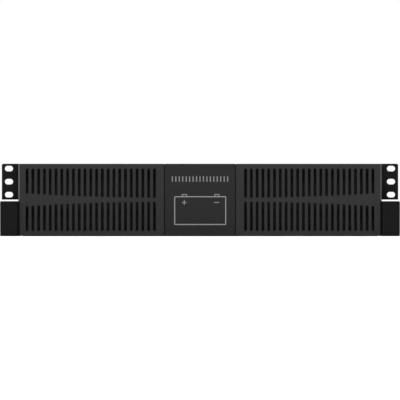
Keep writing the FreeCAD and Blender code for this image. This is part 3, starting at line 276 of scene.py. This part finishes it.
def glazed_ceramic():
    """White ceramic under a glaze, a little uneven in tone and gloss."""
    material, tree, shader = new_finish("fuse_ceramic")
    cloud = noise(tree, grains=120, detail=3)
    surface = {
        "Base Color": tones(tree, cloud, CERAMIC_DARK, CERAMIC_LIGHT),
        "Roughness": spread(tree, cloud, low=0.18, high=0.28),
    }
    feed(tree, shader, surface)
    return material


def filled_plastic(name, dark, light, rough, shine):
    """Glass-filled moulded plastic: a tight grain with a faint flow of lighter tone."""
    material, tree, shader = new_finish(name)
    flow = noise(tree, grains=30, detail=3, stretch=(1, 1, 0.3))
    grain = noise(tree, grains=1900)
    surface = {
        "Base Color": tones(tree, flow, dark, light),
        "Roughness": spread(tree, grain, rough - FILLED_SPREAD, rough + FILLED_SPREAD),
        "Normal": relief(tree, grain, depth=0.000025),
        "Specular IOR Level": shine,
    }
    feed(tree, shader, surface)
    return material


holder_plastic = filled_plastic("holder_plastic", HOLDER_DARK, HOLDER_LIGHT, rough=0.5, shine=0.5)
dress(glazed_ceramic(), "fuse")
dress(holder_plastic, "fuse_holder")


# The bus bars and the socket contacts: flat strips sheared from rolled copper, riveted
# to the back of the sockets, with the rolling streaks still showing.
COPPER_DARK = (0.5, 0.27, 0.16)
COPPER_LIGHT = (0.66, 0.4, 0.27)


def rolled_copper():
    """Bare copper with the streaks of the rolls along it."""
    material, tree, shader = new_finish("rolled_copper")
    streak = noise(tree, grains=320, detail=3, stretch=(0.08, 0.4, 1))
    surface = {
        "Base Color": tones(tree, streak, COPPER_DARK, COPPER_LIGHT),
        "Roughness": spread(tree, streak, low=0.24, high=0.42),
        "Metallic": 1.0,
    }
    feed(tree, shader, surface)
    return material


dress(rolled_copper(), "busbar_positive", "busbar_negative", "connector_contacts")


# The output sockets: two-pole housings moulded in grey plastic, pushed through the rear
# panel from outside and held by a screw at each end of the flange.
SOCKET_EDGE = 0.0004
SOCKET_DARK = (0.085, 0.087, 0.09)
SOCKET_LIGHT = (0.105, 0.107, 0.11)
socket_plastic = filled_plastic("socket_plastic", SOCKET_DARK, SOCKET_LIGHT, rough=0.46, shine=0.4)
eased("output_connector_1", SOCKET_EDGE, socket_plastic)
eased("output_connector_2", SOCKET_EDGE, socket_plastic)


# The circuit breaker: a black moulded body behind the rear panel with its square boss
# standing through it, and a wide toggle that rocks up and down in the boss.
BREAKER_EDGE = 0.0004
BREAKER_DARK = (0.011, 0.011, 0.011)
BREAKER_LIGHT = (0.015, 0.015, 0.015)
TOGGLE_EDGE = 0.0005
TOGGLE_DARK = (0.014, 0.014, 0.014)
TOGGLE_LIGHT = (0.018, 0.018, 0.018)
breaker_plastic = filled_plastic(
    "breaker_plastic", BREAKER_DARK, BREAKER_LIGHT, rough=0.44, shine=0.35
)
toggle_plastic = filled_plastic("toggle_plastic", TOGGLE_DARK, TOGGLE_LIGHT, rough=0.26, shine=0.5)
eased("breaker_body", BREAKER_EDGE, breaker_plastic)
eased("breaker_toggle", TOGGLE_EDGE, toggle_plastic, body="toggle")


# The cover: one sheet wrapped over the top and both sides, painted as the base is and
# screwed to it along the sides.
eased("cover", SHEET_EDGE, case_paint)


# The machine screws: pressed pan heads with a cross recess, driven by hand, so that no two
# recesses stand alike. Zinc plated on the fittings and lids, black on the cover and ears.
HEAD_HEIGHT = 0.002
HEAD_DOME = 0.0008
HEAD_SIDES = 28
SHANK_SHARE = 0.5
SHANK_SIDES = 16
RECESS_LENGTH = 0.0042
RECESS_WIDTH = 0.0009
RECESS_DEPTH = 0.0011
RECESS_SEED = 7
RIM_SHARE = 0.98
SEAT_DIGITS = 5
CREASE_TURN = math.radians(32)
PLATING_SPREAD = 0.08
ZINC_DARK = (0.42, 0.43, 0.44)
ZINC_LIGHT = (0.56, 0.56, 0.54)
OXIDE_DARK = (0.02, 0.02, 0.021)
OXIDE_LIGHT = (0.034, 0.034, 0.035)
# The dome rises in steps: each one's share of its height, and the share of its width kept.
DOME_STEPS = ((0.6, 0.9), (0.4, 0.74))
# Two bars cut the cross and stand half above the head: the axes of their length and width,
# and their height in recess depths.
RECESS_BARS = (("X", "Y", 2.0), ("Y", "X", 1.8))
Screw = namedtuple("Screw", "seat way radius shank")


def plating(name, dark, light, rough):
    """A thin plated skin with faint cloudy staining."""
    material, tree, shader = new_finish(name)
    cloud = noise(tree, grains=300, detail=4)
    surface = {
        "Base Color": tones(tree, cloud, dark, light),
        "Roughness": spread(tree, cloud, rough - PLATING_SPREAD, rough + PLATING_SPREAD),
        "Metallic": 1.0,
    }
    feed(tree, shader, surface)
    return material


def separate_solids(name):
    """The points of each solid in a carried-over group."""
    work = bmesh.new()
    work.from_mesh(cad_nodes[name].data)
    bmesh.ops.remove_doubles(work, verts=work.verts, dist=MERGE_REACH)
    waiting = set(work.verts)
    solids = []
    while waiting:
        front = [waiting.pop()]
        points = []
        while front:
            vert = front.pop()
            points.append(vert.co.copy())
            near = {edge.other_vert(vert) for edge in vert.link_edges} & waiting
            waiting -= near
            front.extend(near)
        solids.append(points)
    work.free()
    return solids


def measure_screw(points):
    """Finds where a screw sits, the way it faces, and how wide its head and long its shank are."""
    low = Vector([min(values) for values in zip(*points)])
    high = Vector([max(values) for values in zip(*points)])
    middle = (low + high) / 2
    extent = high - low
    across = sorted(extent)[1]
    along = max(range(3), key=lambda i: abs(extent[i] - across))
    way = Vector([1.0 if i == along else 0.0 for i in range(3)])
    heights = [(point - middle).dot(way) for point in points]
    reaches = [((point - middle) - way * height).length for point, height in zip(points, heights)]
    widest = max(reaches)
    rim = [height for height, reach in zip(heights, reaches) if reach > widest * RIM_SHARE]
    if sum(rim) < 0:
        way = -way
        rim = [-height for height in rim]
    seat = middle + way * min(rim)
    return Screw(seat, way, widest, min(rim) + extent[along] / 2)


def find_screws(name):
    """Measures each screw of a group, in the order of their seats."""
    screws = [measure_screw(points) for points in separate_solids(name)]
    screws.sort(key=lambda screw: [round(value, SEAT_DIGITS) for value in screw.seat])
    return screws


def seat_points(name, screws):
    """A mesh with one point for each seat, which carries the way that its screw faces."""
    mesh = bpy.data.meshes.new(name)
    mesh.from_pydata([screw.seat for screw in screws], [], [])
    facing = mesh.attributes.new("facing", "FLOAT_VECTOR", "POINT")
    facing.data.foreach_set("vector", [value for screw in screws for value in screw.way])
    return mesh


def new_tree(name, *labels):
    """An empty Geometry Nodes tree with a named input for each size and for the finish."""
    tree = bpy.data.node_groups.new(name, "GeometryNodeTree")
    tree.interface.new_socket("Geometry", in_out="INPUT", socket_type="NodeSocketGeometry")
    for label in labels:
        tree.interface.new_socket(label, in_out="INPUT", socket_type="NodeSocketFloat")
    tree.interface.new_socket("Finish", in_out="INPUT", socket_type="NodeSocketMaterial")
    tree.interface.new_socket("Geometry", in_out="OUTPUT", socket_type="NodeSocketGeometry")
    return tree, tree.nodes.new("NodeGroupInput").outputs


def calc(tree, operation, first, second):
    """One calculation inside a tree."""
    return add_node(tree, "ShaderNodeMath", {0: first, 1: second}, operation=operation)["Value"]


def vector(tree, axes):
    """A vector inside a tree, from what is given for its axes."""
    return add_node(tree, "ShaderNodeCombineXYZ", axes)["Vector"]


def lifted(tree, mesh, height):
    """Moves a form of a tree along its own axis."""
    move = {"Geometry": mesh, "Translation": vector(tree, {"Z": height})}
    return add_node(tree, "GeometryNodeTransform", move)["Geometry"]


def joined(tree, *forms):
    """Puts forms of a tree together."""
    return add_node(tree, "GeometryNodeJoinGeometry", {"Geometry": list(forms)})["Geometry"]


def finish_tree(tree, given, instances):
    """Makes the instances real, shades them smooth and gives them their finish."""
    real = add_node(tree, "GeometryNodeRealizeInstances", {"Geometry": instances})["Geometry"]
    smooth = add_node(tree, "GeometryNodeSetShadeSmooth", {"Geometry": real})["Geometry"]
    skin = {"Geometry": smooth, "Material": given["Finish"]}
    done = add_node(tree, "GeometryNodeSetMaterial", skin)["Geometry"]
    add_node(tree, "NodeGroupOutput", {"Geometry": done})


def set_on_seats(tree, given, form):
    """Stands a form on every seat, turned to face outwards and then by chance about its axis."""
    facing = add_node(
        tree, "GeometryNodeInputNamedAttribute", {"Name": "facing"}, data_type="FLOAT_VECTOR"
    )["Attribute"]
    upright = add_node(tree, "FunctionNodeAlignRotationToVector", {"Vector": facing}, axis="Z")
    any_turn = {"Max": math.tau, "Seed": RECESS_SEED}
    chance = add_node(tree, "FunctionNodeRandomValue", any_turn, data_type="FLOAT")
    angle = next(value for value in chance if value.enabled)
    spin = add_node(tree, "FunctionNodeAxisAngleToRotation", {"Axis": (0, 0, 1), "Angle": angle})
    both = {"Rotation": upright["Rotation"], "Rotate By": spin["Rotation"]}
    turn = add_node(tree, "FunctionNodeRotateRotation", both, rotation_space="LOCAL")["Rotation"]
    seats = {"Points": given["Geometry"], "Instance": form, "Rotation": turn}
    finish_tree(tree, given, add_node(tree, "GeometryNodeInstanceOnPoints", seats)["Instances"])


def grow(tree, base, name, **values):
    """Runs a tree on a base mesh and keeps what it makes as one plain piece."""
    piece = show(name, base)
    modifier = piece.modifiers.new("tree", "NODES")
    modifier.node_group = tree
    for socket in tree.interface.items_tree:
        key = socket.name.lower().replace(" ", "_")
        if socket.in_out == "INPUT" and key in values:
            modifier[socket.identifier] = values[key]
    settle(piece)
    piece.data.set_sharp_from_angle(angle=CREASE_TURN)
    return piece


def cross_recess(tree, given, head, top):
    """Cuts the cross for the driver into the top of a head, one bar after the other."""
    for across, along, share in RECESS_BARS:
        height = calc(tree, "MULTIPLY", given["Recess Depth"], share)
        sides = {across: given["Recess Length"], along: given["Recess Width"], "Z": height}
        bar = add_node(tree, "GeometryNodeMeshCube", {"Size": vector(tree, sides)})["Mesh"]
        cut = {"Mesh 1": head, "Mesh 2": lifted(tree, bar, top)}
        head = add_node(tree, "GeometryNodeMeshBoolean", cut, operation="DIFFERENCE")["Mesh"]
    return head


def shank_under(tree, given):
    """The plain shank under a head."""
    length = given["Shank Length"]
    sizes = {"Vertices": SHANK_SIDES, "Radius": given["Shank Radius"], "Depth": length}
    shank = add_node(tree, "GeometryNodeMeshCylinder", sizes)["Mesh"]
    return lifted(tree, shank, calc(tree, "MULTIPLY", length, -0.5))


def pan_head_tree():
    """A pan head in two soft steps, with its cross recess and its shank."""
    tree, given = new_tree(
        "pan_head_screw", "Head Radius", "Head Height", "Dome", "Shank Radius", "Shank Length",
        "Recess Length", "Recess Width", "Recess Depth",
    )
    wall = calc(tree, "SUBTRACT", given["Head Height"], given["Dome"])
    sizes = {"Vertices": HEAD_SIDES, "Radius": given["Head Radius"], "Depth": wall}
    drum = add_node(tree, "GeometryNodeMeshCylinder", sizes)
    form, top = drum["Mesh"], drum["Top"]
    for share, kept in DOME_STEPS:
        rise = calc(tree, "MULTIPLY", given["Dome"], share)
        pull = {"Mesh": form, "Selection": top, "Offset Scale": rise}
        grown = add_node(tree, "GeometryNodeExtrudeMesh", pull)
        top = grown["Top"]
        draw_in = {"Geometry": grown["Mesh"], "Selection": top, "Scale": kept}
        form = add_node(tree, "GeometryNodeScaleElements", draw_in)["Geometry"]
    head = lifted(tree, form, calc(tree, "MULTIPLY", wall, 0.5))
    driven = cross_recess(tree, given, head, given["Head Height"])
    set_on_seats(tree, given, joined(tree, driven, shank_under(tree, given)))
    return tree


pan_head = pan_head_tree()


def pan_screws(group, finish):
    """Replaces a group of plain screws by ones with driven heads."""
    screws = find_screws(group)
    piece = grow(
        pan_head,
        seat_points(group + "_seats", screws),
        group + "_driven",
        head_radius=screws[0].radius,
        head_height=HEAD_HEIGHT,
        dome=HEAD_DOME,
        shank_radius=screws[0].radius * SHANK_SHARE,
        shank_length=screws[0].shank,
        recess_length=RECESS_LENGTH,
        recess_width=RECESS_WIDTH,
        recess_depth=RECESS_DEPTH,
        finish=finish,
    )
    stand_for(piece, group)


zinc = plating("zinc_plating", ZINC_DARK, ZINC_LIGHT, rough=0.36)
black_oxide = plating("black_oxide", OXIDE_DARK, OXIDE_LIGHT, rough=0.44)
pan_screws("fitting_screws", zinc)
pan_screws("lid_screws", zinc)
pan_screws("cover_screws", black_oxide)
pan_screws("ear_screws", black_oxide)


# The earth screw: a brass pan head over a brass washer on bare metal, at the lower
# corner of the rear panel.
BRASS_DARK = (0.46, 0.3, 0.1)
BRASS_LIGHT = (0.56, 0.4, 0.16)
brass = plating("earth_brass", BRASS_DARK, BRASS_LIGHT, rough=0.34)
dress(brass, "earth_washer")
pan_screws("earth_screw", brass)


# The thumb screws: turned steel with a straight knurl, black, two at the front edge of
# each tray, reached when the bezel is off.
THUMB_HEIGHT = 0.007
KNURL_DEPTH = 0.0003
KNURL_SIDES = 48


def thumb_tree():
    """A knurled drum with a shank, set on every seat."""
    tree, given = new_tree(
        "thumb_screw", "Head Radius", "Head Height", "Knurl Depth", "Shank Radius", "Shank Length"
    )
    sizes = {"Vertices": KNURL_SIDES, "Radius": given["Head Radius"], "Depth": given["Head Height"]}
    drum = add_node(tree, "GeometryNodeMeshCylinder", sizes)["Mesh"]
    index = add_node(tree, "GeometryNodeInputIndex", {})["Index"]
    every_other = calc(tree, "MODULO", index, 2.0)
    depth_share = calc(tree, "DIVIDE", given["Knurl Depth"], given["Head Radius"])
    shrink = calc(tree, "SUBTRACT", 1.0, calc(tree, "MULTIPLY", every_other, depth_share))
    place = add_node(tree, "GeometryNodeInputPosition", {})["Position"]
    axes = add_node(tree, "ShaderNodeSeparateXYZ", {"Vector": place})
    groove = {axis: calc(tree, "MULTIPLY", axes[axis], shrink) for axis in ("X", "Y")}
    knurl = {"Geometry": drum, "Position": vector(tree, {**groove, "Z": axes["Z"]})}
    knurled = add_node(tree, "GeometryNodeSetPosition", knurl)["Geometry"]
    head = lifted(tree, knurled, calc(tree, "MULTIPLY", given["Head Height"], 0.5))
    set_on_seats(tree, given, joined(tree, head, shank_under(tree, given)))
    return tree


thumbs = find_screws("tray_screws")
thumb_screws = grow(
    thumb_tree(),
    seat_points("tray_screw_seats", thumbs),
    "tray_screws_knurled",
    head_radius=thumbs[0].radius,
    head_height=THUMB_HEIGHT,
    knurl_depth=KNURL_DEPTH,
    shank_radius=thumbs[0].radius * SHANK_SHARE,
    shank_length=thumbs[0].shank,
    finish=black_oxide,
)
stand_for(thumb_screws, "tray_screws")


# The rack ears: folded from 2 mm steel, punched with three slots for rack screws each,
# slit above the handle tab, and painted a deeper black than the case.
EAR_EDGE = 0.0003
EAR_DARK = (0.0045, 0.0045, 0.0047)
EAR_LIGHT = (0.006, 0.006, 0.0062)
EAR_SHINE = 0.135
ear_paint = powder_paint("ear_powder_paint", EAR_DARK, EAR_LIGHT, EAR_SHINE)
eased("ear_left", EAR_EDGE, ear_paint)
eased("ear_right", EAR_EDGE, ear_paint)


# The pull handles: moulded in black plastic, flat in front, hollowed for the fingers,
# and held from behind the ear by two countersunk screws each.
HANDLE_EDGE = 0.0005
HANDLE_DARK = (0.0048, 0.0048, 0.005)
HANDLE_LIGHT = (0.0062, 0.0062, 0.0064)
GRAIN_SHARE = 0.6
FLUSH_HEIGHT = 0.0013
FLUSH_SHANK_SHARE = 0.6
FLUSH_RECESS_LENGTH = RECESS_LENGTH * 0.9
FLUSH_RECESS_DEPTH = RECESS_DEPTH * 0.8


def fine_grained(name, dark, light, depth, shine):
    """Injection-moulded plastic with the fine grain of a spark-eroded mould."""
    material, tree, shader = new_finish(name)
    cloud = noise(tree, grains=11, detail=3)
    pits = noise(tree, grains=1300)
    grain = noise(tree, grains=3200, detail=1)
    surface = {
        "Base Color": tones(tree, cloud, dark, light),
        "Roughness": spread(tree, pits, low=0.45, high=0.56),
        "Normal": relief(tree, grain, depth * GRAIN_SHARE, over=relief(tree, pits, depth)),
        "Specular IOR Level": shine,
    }
    feed(tree, shader, surface)
    return material


def flush_tree():
    """A countersunk head with its cross recess and its shank."""
    tree, given = new_tree(
        "flush_screw", "Head Radius", "Head Height", "Shank Radius", "Shank Length",
        "Recess Length", "Recess Width", "Recess Depth",
    )
    sizes = {
        "Vertices": HEAD_SIDES,
        "Radius Top": given["Head Radius"],
        "Radius Bottom": given["Shank Radius"],
        "Depth": given["Head Height"],
    }
    cone = add_node(tree, "GeometryNodeMeshCone", sizes)["Mesh"]
    head = lifted(tree, cone, calc(tree, "MULTIPLY", given["Head Height"], -1.0))
    driven = cross_recess(tree, given, head, 0.0)
    set_on_seats(tree, given, joined(tree, driven, shank_under(tree, given)))
    return tree


handle_plastic = fine_grained(
    "handle_plastic", HANDLE_DARK, HANDLE_LIGHT, depth=0.000018, shine=0.1
)
eased("handle_left", HANDLE_EDGE, handle_plastic)
eased("handle_right", HANDLE_EDGE, handle_plastic)
flush = find_screws("handle_screws")
flush_screws = grow(
    flush_tree(),
    seat_points("handle_screw_seats", flush),
    "handle_screws_flush",
    head_radius=flush[0].radius,
    head_height=FLUSH_HEIGHT,
    shank_radius=flush[0].radius * FLUSH_SHANK_SHARE,
    shank_length=flush[0].shank,
    recess_length=FLUSH_RECESS_LENGTH,
    recess_width=RECESS_WIDTH,
    recess_depth=FLUSH_RECESS_DEPTH,
    finish=black_oxide,
)
stand_for(flush_screws, "handle_screws")


# The bezel halves: moulded in charcoal plastic with a fine grain, slotted above and below
# a rib whose edges sweep in towards the middle, and snapped onto the front of the case.
BEZEL_EDGE = 0.0002
BEZEL_DARK = (0.0182, 0.0182, 0.0186)
BEZEL_LIGHT = (0.0208, 0.0208, 0.0212)
bezel_plastic = fine_grained("bezel_plastic", BEZEL_DARK, BEZEL_LIGHT, depth=0.000022, shine=0.25)
eased("bezel_left", BEZEL_EDGE, bezel_plastic)
eased("bezel_right", BEZEL_EDGE, bezel_plastic)


# The centre panel: a plain moulding between the halves, a shade darker, snapped on in
# the same way.
PANEL_DARK = (0.0124, 0.0124, 0.0127)
PANEL_LIGHT = (0.0144, 0.0144, 0.0147)
panel_plastic = fine_grained("panel_plastic", PANEL_DARK, PANEL_LIGHT, depth=0.000018, shine=0.22)
eased("centre_panel", BEZEL_EDGE, panel_plastic)


# The print on the centre panel: a battery sign in thin light grey lines, and a plain row
# of level bars above it, screen printed as a thin film.
FILM = 0.00005
INK_DARK = (0.24, 0.24, 0.24)
INK_LIGHT = (0.3, 0.3, 0.3)
LINE = 0.0012
SIGN_LEFT, SIGN_RIGHT = -0.0314, 0.03186
SIGN_BOTTOM, SIGN_TOP = 0.01355, 0.0485
SIGN_ROUND = 0.0014
ROUND_STEPS = 4
POST_TOP = 0.05115
POSTS = ((-0.02206, -0.01592), (0.01747, 0.0234))
POST_LINE = 0.0009
MARK_HEIGHT = 0.0409
PLUS_PLACE, MINUS_PLACE = -0.01912, 0.02021
MARK_REACH = 0.0029
MARK_LINE = 0.0009
BAR_COUNT = 17
BAR_STEP = 0.0042
BAR_WIDTH = 0.0011
BAR_HEIGHT = 0.0066
BAR_MIDDLE = 0.0694
panel_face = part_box("centre_panel")[0].y


def ink(name, dark, light):
    """Matt screen ink, a little uneven where the mesh laid it thin."""
    material, tree, shader = new_finish(name)
    mesh_mark = noise(tree, grains=2200)
    surface = {
        "Base Color": tones(tree, mesh_mark, dark, light),
        "Roughness": spread(tree, mesh_mark, low=0.55, high=0.7),
        "Normal": relief(tree, mesh_mark, depth=0.000006),
    }
    feed(tree, shader, surface)
    return material


def rounded_outline(left, bottom, right, top, radius):
    """An upright rectangle with rounded corners, as points across and up."""
    middles = (
        (right - radius, top - radius),
        (left + radius, top - radius),
        (left + radius, bottom + radius),
        (right - radius, bottom + radius),
    )
    points = []
    for corner, (across, up) in enumerate(middles):
        for part in range(ROUND_STEPS + 1):
            turn = (corner + part / ROUND_STEPS) * math.pi / 2
            points.append((across + radius * math.cos(turn), up + radius * math.sin(turn)))
    return points


def post_outline(left, right):
    """A battery post: three sides of a small box that stands on the top line of the sign."""
    crown = POST_TOP - POST_LINE
    return [
        (left, SIGN_TOP),
        (left + POST_LINE, SIGN_TOP),
        (left + POST_LINE, crown),
        (right - POST_LINE, crown),
        (right - POST_LINE, SIGN_TOP),
        (right, SIGN_TOP),
        (right, POST_TOP),
        (left, POST_TOP),
    ]


def plus_outline(across, up, reach, half):
    """A plus mark: one arm, turned a quarter at a time."""
    points = []
    arm = [(reach, -half), (reach, half), (half, half)]
    for quarter in range(4):
        points += [(across + x, up + z) for x, z in arm]
        arm = [(-z, x) for x, z in arm]
    return points


def minus_outline(across, up, reach, half):
    """A minus mark: a plain bar."""
    sides = ((-reach, -half), (reach, -half), (reach, half), (-reach, half))
    return [(across + x, up + z) for x, z in sides]


def join_rings(work, first, second):
    """A strip of faces from one ring of points to another."""
    for k in range(len(first)):
        work.faces.new((first[k - 1], first[k], second[k], second[k - 1]))


def print_shape(work, outline, hollow=None):
    """One printed shape: a closed thin film on the panel's face, with a hollow if it has one."""
    depths = (panel_face - FILM, panel_face)
    outer = [[work.verts.new((across, depth, up)) for across, up in outline] for depth in depths]
    join_rings(work, *outer)
    if hollow is None:
        for ring in outer:
            work.faces.new(ring)
        return
    inner = [[work.verts.new((across, depth, up)) for across, up in hollow] for depth in depths]
    join_rings(work, *inner)
    for outside, inside in zip(outer, inner):
        join_rings(work, outside, inside)


ink_grey = ink("print_grey", INK_DARK, INK_LIGHT)
sign_work = bmesh.new()
print_shape(
    sign_work,
    rounded_outline(SIGN_LEFT, SIGN_BOTTOM, SIGN_RIGHT, SIGN_TOP, SIGN_ROUND),
    hollow=rounded_outline(
        SIGN_LEFT + LINE, SIGN_BOTTOM + LINE, SIGN_RIGHT - LINE, SIGN_TOP - LINE, SIGN_ROUND - LINE
    ),
)
for left, right in POSTS:
    print_shape(sign_work, post_outline(left, right))
print_shape(sign_work, plus_outline(PLUS_PLACE, MARK_HEIGHT, MARK_REACH, MARK_LINE / 2))
print_shape(sign_work, minus_outline(MINUS_PLACE, MARK_HEIGHT, MARK_REACH, MARK_LINE / 2))
bmesh.ops.recalc_face_normals(sign_work, faces=sign_work.faces)
sign_mesh = bpy.data.meshes.new("battery_sign")
sign_work.to_mesh(sign_mesh)
sign_work.free()
sign_mesh.materials.append(ink_grey)
battery_sign = show("battery_sign", sign_mesh)
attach(battery_sign, "pack")


def bar_row_tree():
    """A row of like bars, each a thin film, stepped along from a single starting point."""
    tree, given = new_tree("level_bars", "Bar Count", "Bar Step", "Bar Width", "Bar Height", "Film")
    stepped = {"Count": given["Bar Count"], "Offset": vector(tree, {"X": given["Bar Step"]})}
    line = add_node(tree, "GeometryNodeMeshLine", stepped)["Mesh"]
    sides = {"X": given["Bar Width"], "Y": given["Film"], "Z": given["Bar Height"]}
    bar = add_node(tree, "GeometryNodeMeshCube", {"Size": vector(tree, sides)})["Mesh"]
    on_line = {"Points": line, "Instance": bar}
    row = add_node(tree, "GeometryNodeInstanceOnPoints", on_line)["Instances"]
    real = add_node(tree, "GeometryNodeRealizeInstances", {"Geometry": row})["Geometry"]
    on_start = {"Points": given["Geometry"], "Instance": real}
    finish_tree(tree, given, add_node(tree, "GeometryNodeInstanceOnPoints", on_start)["Instances"])
    return tree


row_left = -BAR_STEP * (BAR_COUNT - 1) / 2
row_start = bpy.data.meshes.new("level_bar_start")
row_start.from_pydata([(row_left, panel_face - FILM / 2, BAR_MIDDLE)], [], [])
level_bars = grow(
    bar_row_tree(),
    row_start,
    "level_bars",
    bar_count=float(BAR_COUNT),
    bar_step=BAR_STEP,
    bar_width=BAR_WIDTH,
    bar_height=BAR_HEIGHT,
    film=FILM,
    finish=ink_grey,
)
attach(level_bars, "pack")


# The camera: straight in front and level with the middle of the bezel, so far away that
# the sides and the top stay hidden.
PIXELS_ACROSS = 400
METRES_PER_PIXEL = 0.0012176
VIEW_HEIGHT = 0.04392
VIEW_REACH = 200.0
LENS = 1400.0
SENSOR = 36.0
camera_data = bpy.data.cameras.new("camera")
camera_data.lens = LENS
camera_data.sensor_width = SENSOR
camera_data.clip_end = VIEW_REACH
camera = show("camera", camera_data)
bpy.context.scene.camera = camera
ear_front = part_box("ear_left")[0].y
stand_off = PIXELS_ACROSS * METRES_PER_PIXEL * LENS / SENSOR
camera.location = (0, ear_front - stand_off, VIEW_HEIGHT)
camera.rotation_euler = (math.pi / 2, 0, 0)


# The studio: soft boxes in front, above, behind and low at both sides, a pale floor, and
# surroundings that are white to the camera and dimmer as light on the object.
FRONT_AIM = (0, -0.2, 0.04)
SIDE_AIM = (0, -0.2, 0.06)
TOP_AIM = (0, 0, 0)
REAR_AIM = (0, 0.1, 0.04)
WHITE = (1, 1, 1, 1)
AMBIENT = 0.5
FRONT_SHINE = 0.06
BACKDROP_SPAN = (0.05, 0.6)
FLOOR_REACH = 40.0
FLOOR_DROP = 0.0002
FLOOR_CORNERS = ((-1, -1), (1, -1), (1, 1), (-1, 1))
FLOOR_TONE = (0.8, 0.8, 0.8, 1)
FLOOR_ROUGH = 0.9
FLOOR_GLOW = 0.6
POOL_GLOW = 0.2
POOL_SPAN = (0.3, 2.4)


def soft_box(name, place, aim, width, height, power):
    """A rectangular soft box that looks at a point."""
    lamp = bpy.data.lights.new(name, "AREA")
    lamp.shape = "RECTANGLE"
    lamp.size = width
    lamp.size_y = height
    lamp.energy = power
    box = show(name, lamp)
    box.location = place
    box.rotation_euler = (Vector(aim) - Vector(place)).to_track_quat("-Z", "Y").to_euler()


def ray_share(tree, *kinds):
    """One where the ray is of any of these kinds, and nothing where it isn't."""
    path = add_node(tree, "ShaderNodeLightPath", {})
    share = path[kinds[0]]
    for kind in kinds[1:]:
        share = calc(tree, "MAXIMUM", share, path[kind])
    return share


def choose(tree, share, without, within):
    """Picks between two levels by a share."""
    return add_node(tree, "ShaderNodeMix", {"Factor": share, "A": without, "B": within})["Result"]


soft_box("front_box", (0, -2.2, 1.3), FRONT_AIM, width=0.8, height=0.6, power=17)
soft_box("front_left_box", (-1.25, -1.15, 1.25), FRONT_AIM, width=0.8, height=0.8, power=3)
soft_box("front_right_box", (1.25, -1.15, 1.25), FRONT_AIM, width=0.8, height=0.8, power=1.6)
soft_box("left_box", (-1.2, -0.2, 0.2), SIDE_AIM, width=0.5, height=0.4, power=7)
soft_box("right_box", (1.2, -0.2, 0.2), SIDE_AIM, width=0.5, height=0.4, power=4.2)
soft_box("top_box", (0, 0.1, 1.7), TOP_AIM, width=1.2, height=1.2, power=11)
soft_box("rear_box", (0.5, 1.6, 1.1), REAR_AIM, width=0.9, height=0.9, power=12)

world = bpy.data.worlds.new("studio")
bpy.context.scene.world = world
world.use_nodes = True
air = world.node_tree
heading = add_node(air, "ShaderNodeTexCoord", {})["Generated"]
towards_back = add_node(air, "ShaderNodeSeparateXYZ", {"Vector": heading})["Y"]
backdrop = ramp(
    air, towards_back, BACKDROP_SPAN, FRONT_SHINE, 1.0, interpolation_type="SMOOTHSTEP"
)
mirrored = ray_share(air, "Is Glossy Ray", "Is Transmission Ray")
light = choose(air, mirrored, AMBIENT, backdrop)
seen = ray_share(air, "Is Camera Ray")
air_light = {"Color": WHITE, "Strength": choose(air, seen, light, 1.0)}
feed(air, air.nodes["Background"], air_light)

floor_paint, floor_tree, floor_shader = new_finish("floor_paint")
floor_place = add_node(floor_tree, "ShaderNodeTexCoord", {})["Object"]
from_middle = add_node(floor_tree, "ShaderNodeVectorMath", {0: floor_place}, operation="LENGTH")
glow = ramp(floor_tree, from_middle["Value"], POOL_SPAN, POOL_GLOW, FLOOR_GLOW)
floor_seen = ray_share(floor_tree, "Is Camera Ray", "Is Glossy Ray", "Is Transmission Ray")
floor_surface = {
    "Base Color": FLOOR_TONE,
    "Roughness": FLOOR_ROUGH,
    "Specular IOR Level": 0.0,
    "Emission Color": WHITE,
    "Emission Strength": choose(floor_tree, floor_seen, 0.0, glow),
}
feed(floor_tree, floor_shader, floor_surface)
floor_points = [(x * FLOOR_REACH, y * FLOOR_REACH, -FLOOR_DROP) for x, y in FLOOR_CORNERS]
floor_mesh = bpy.data.meshes.new("floor")
floor_mesh.from_pydata(floor_points, [], [(0, 1, 2, 3)])
floor_mesh.materials.append(floor_paint)
floor = show("floor", floor_mesh)

bpy.context.scene.view_settings.view_transform = "Standard"
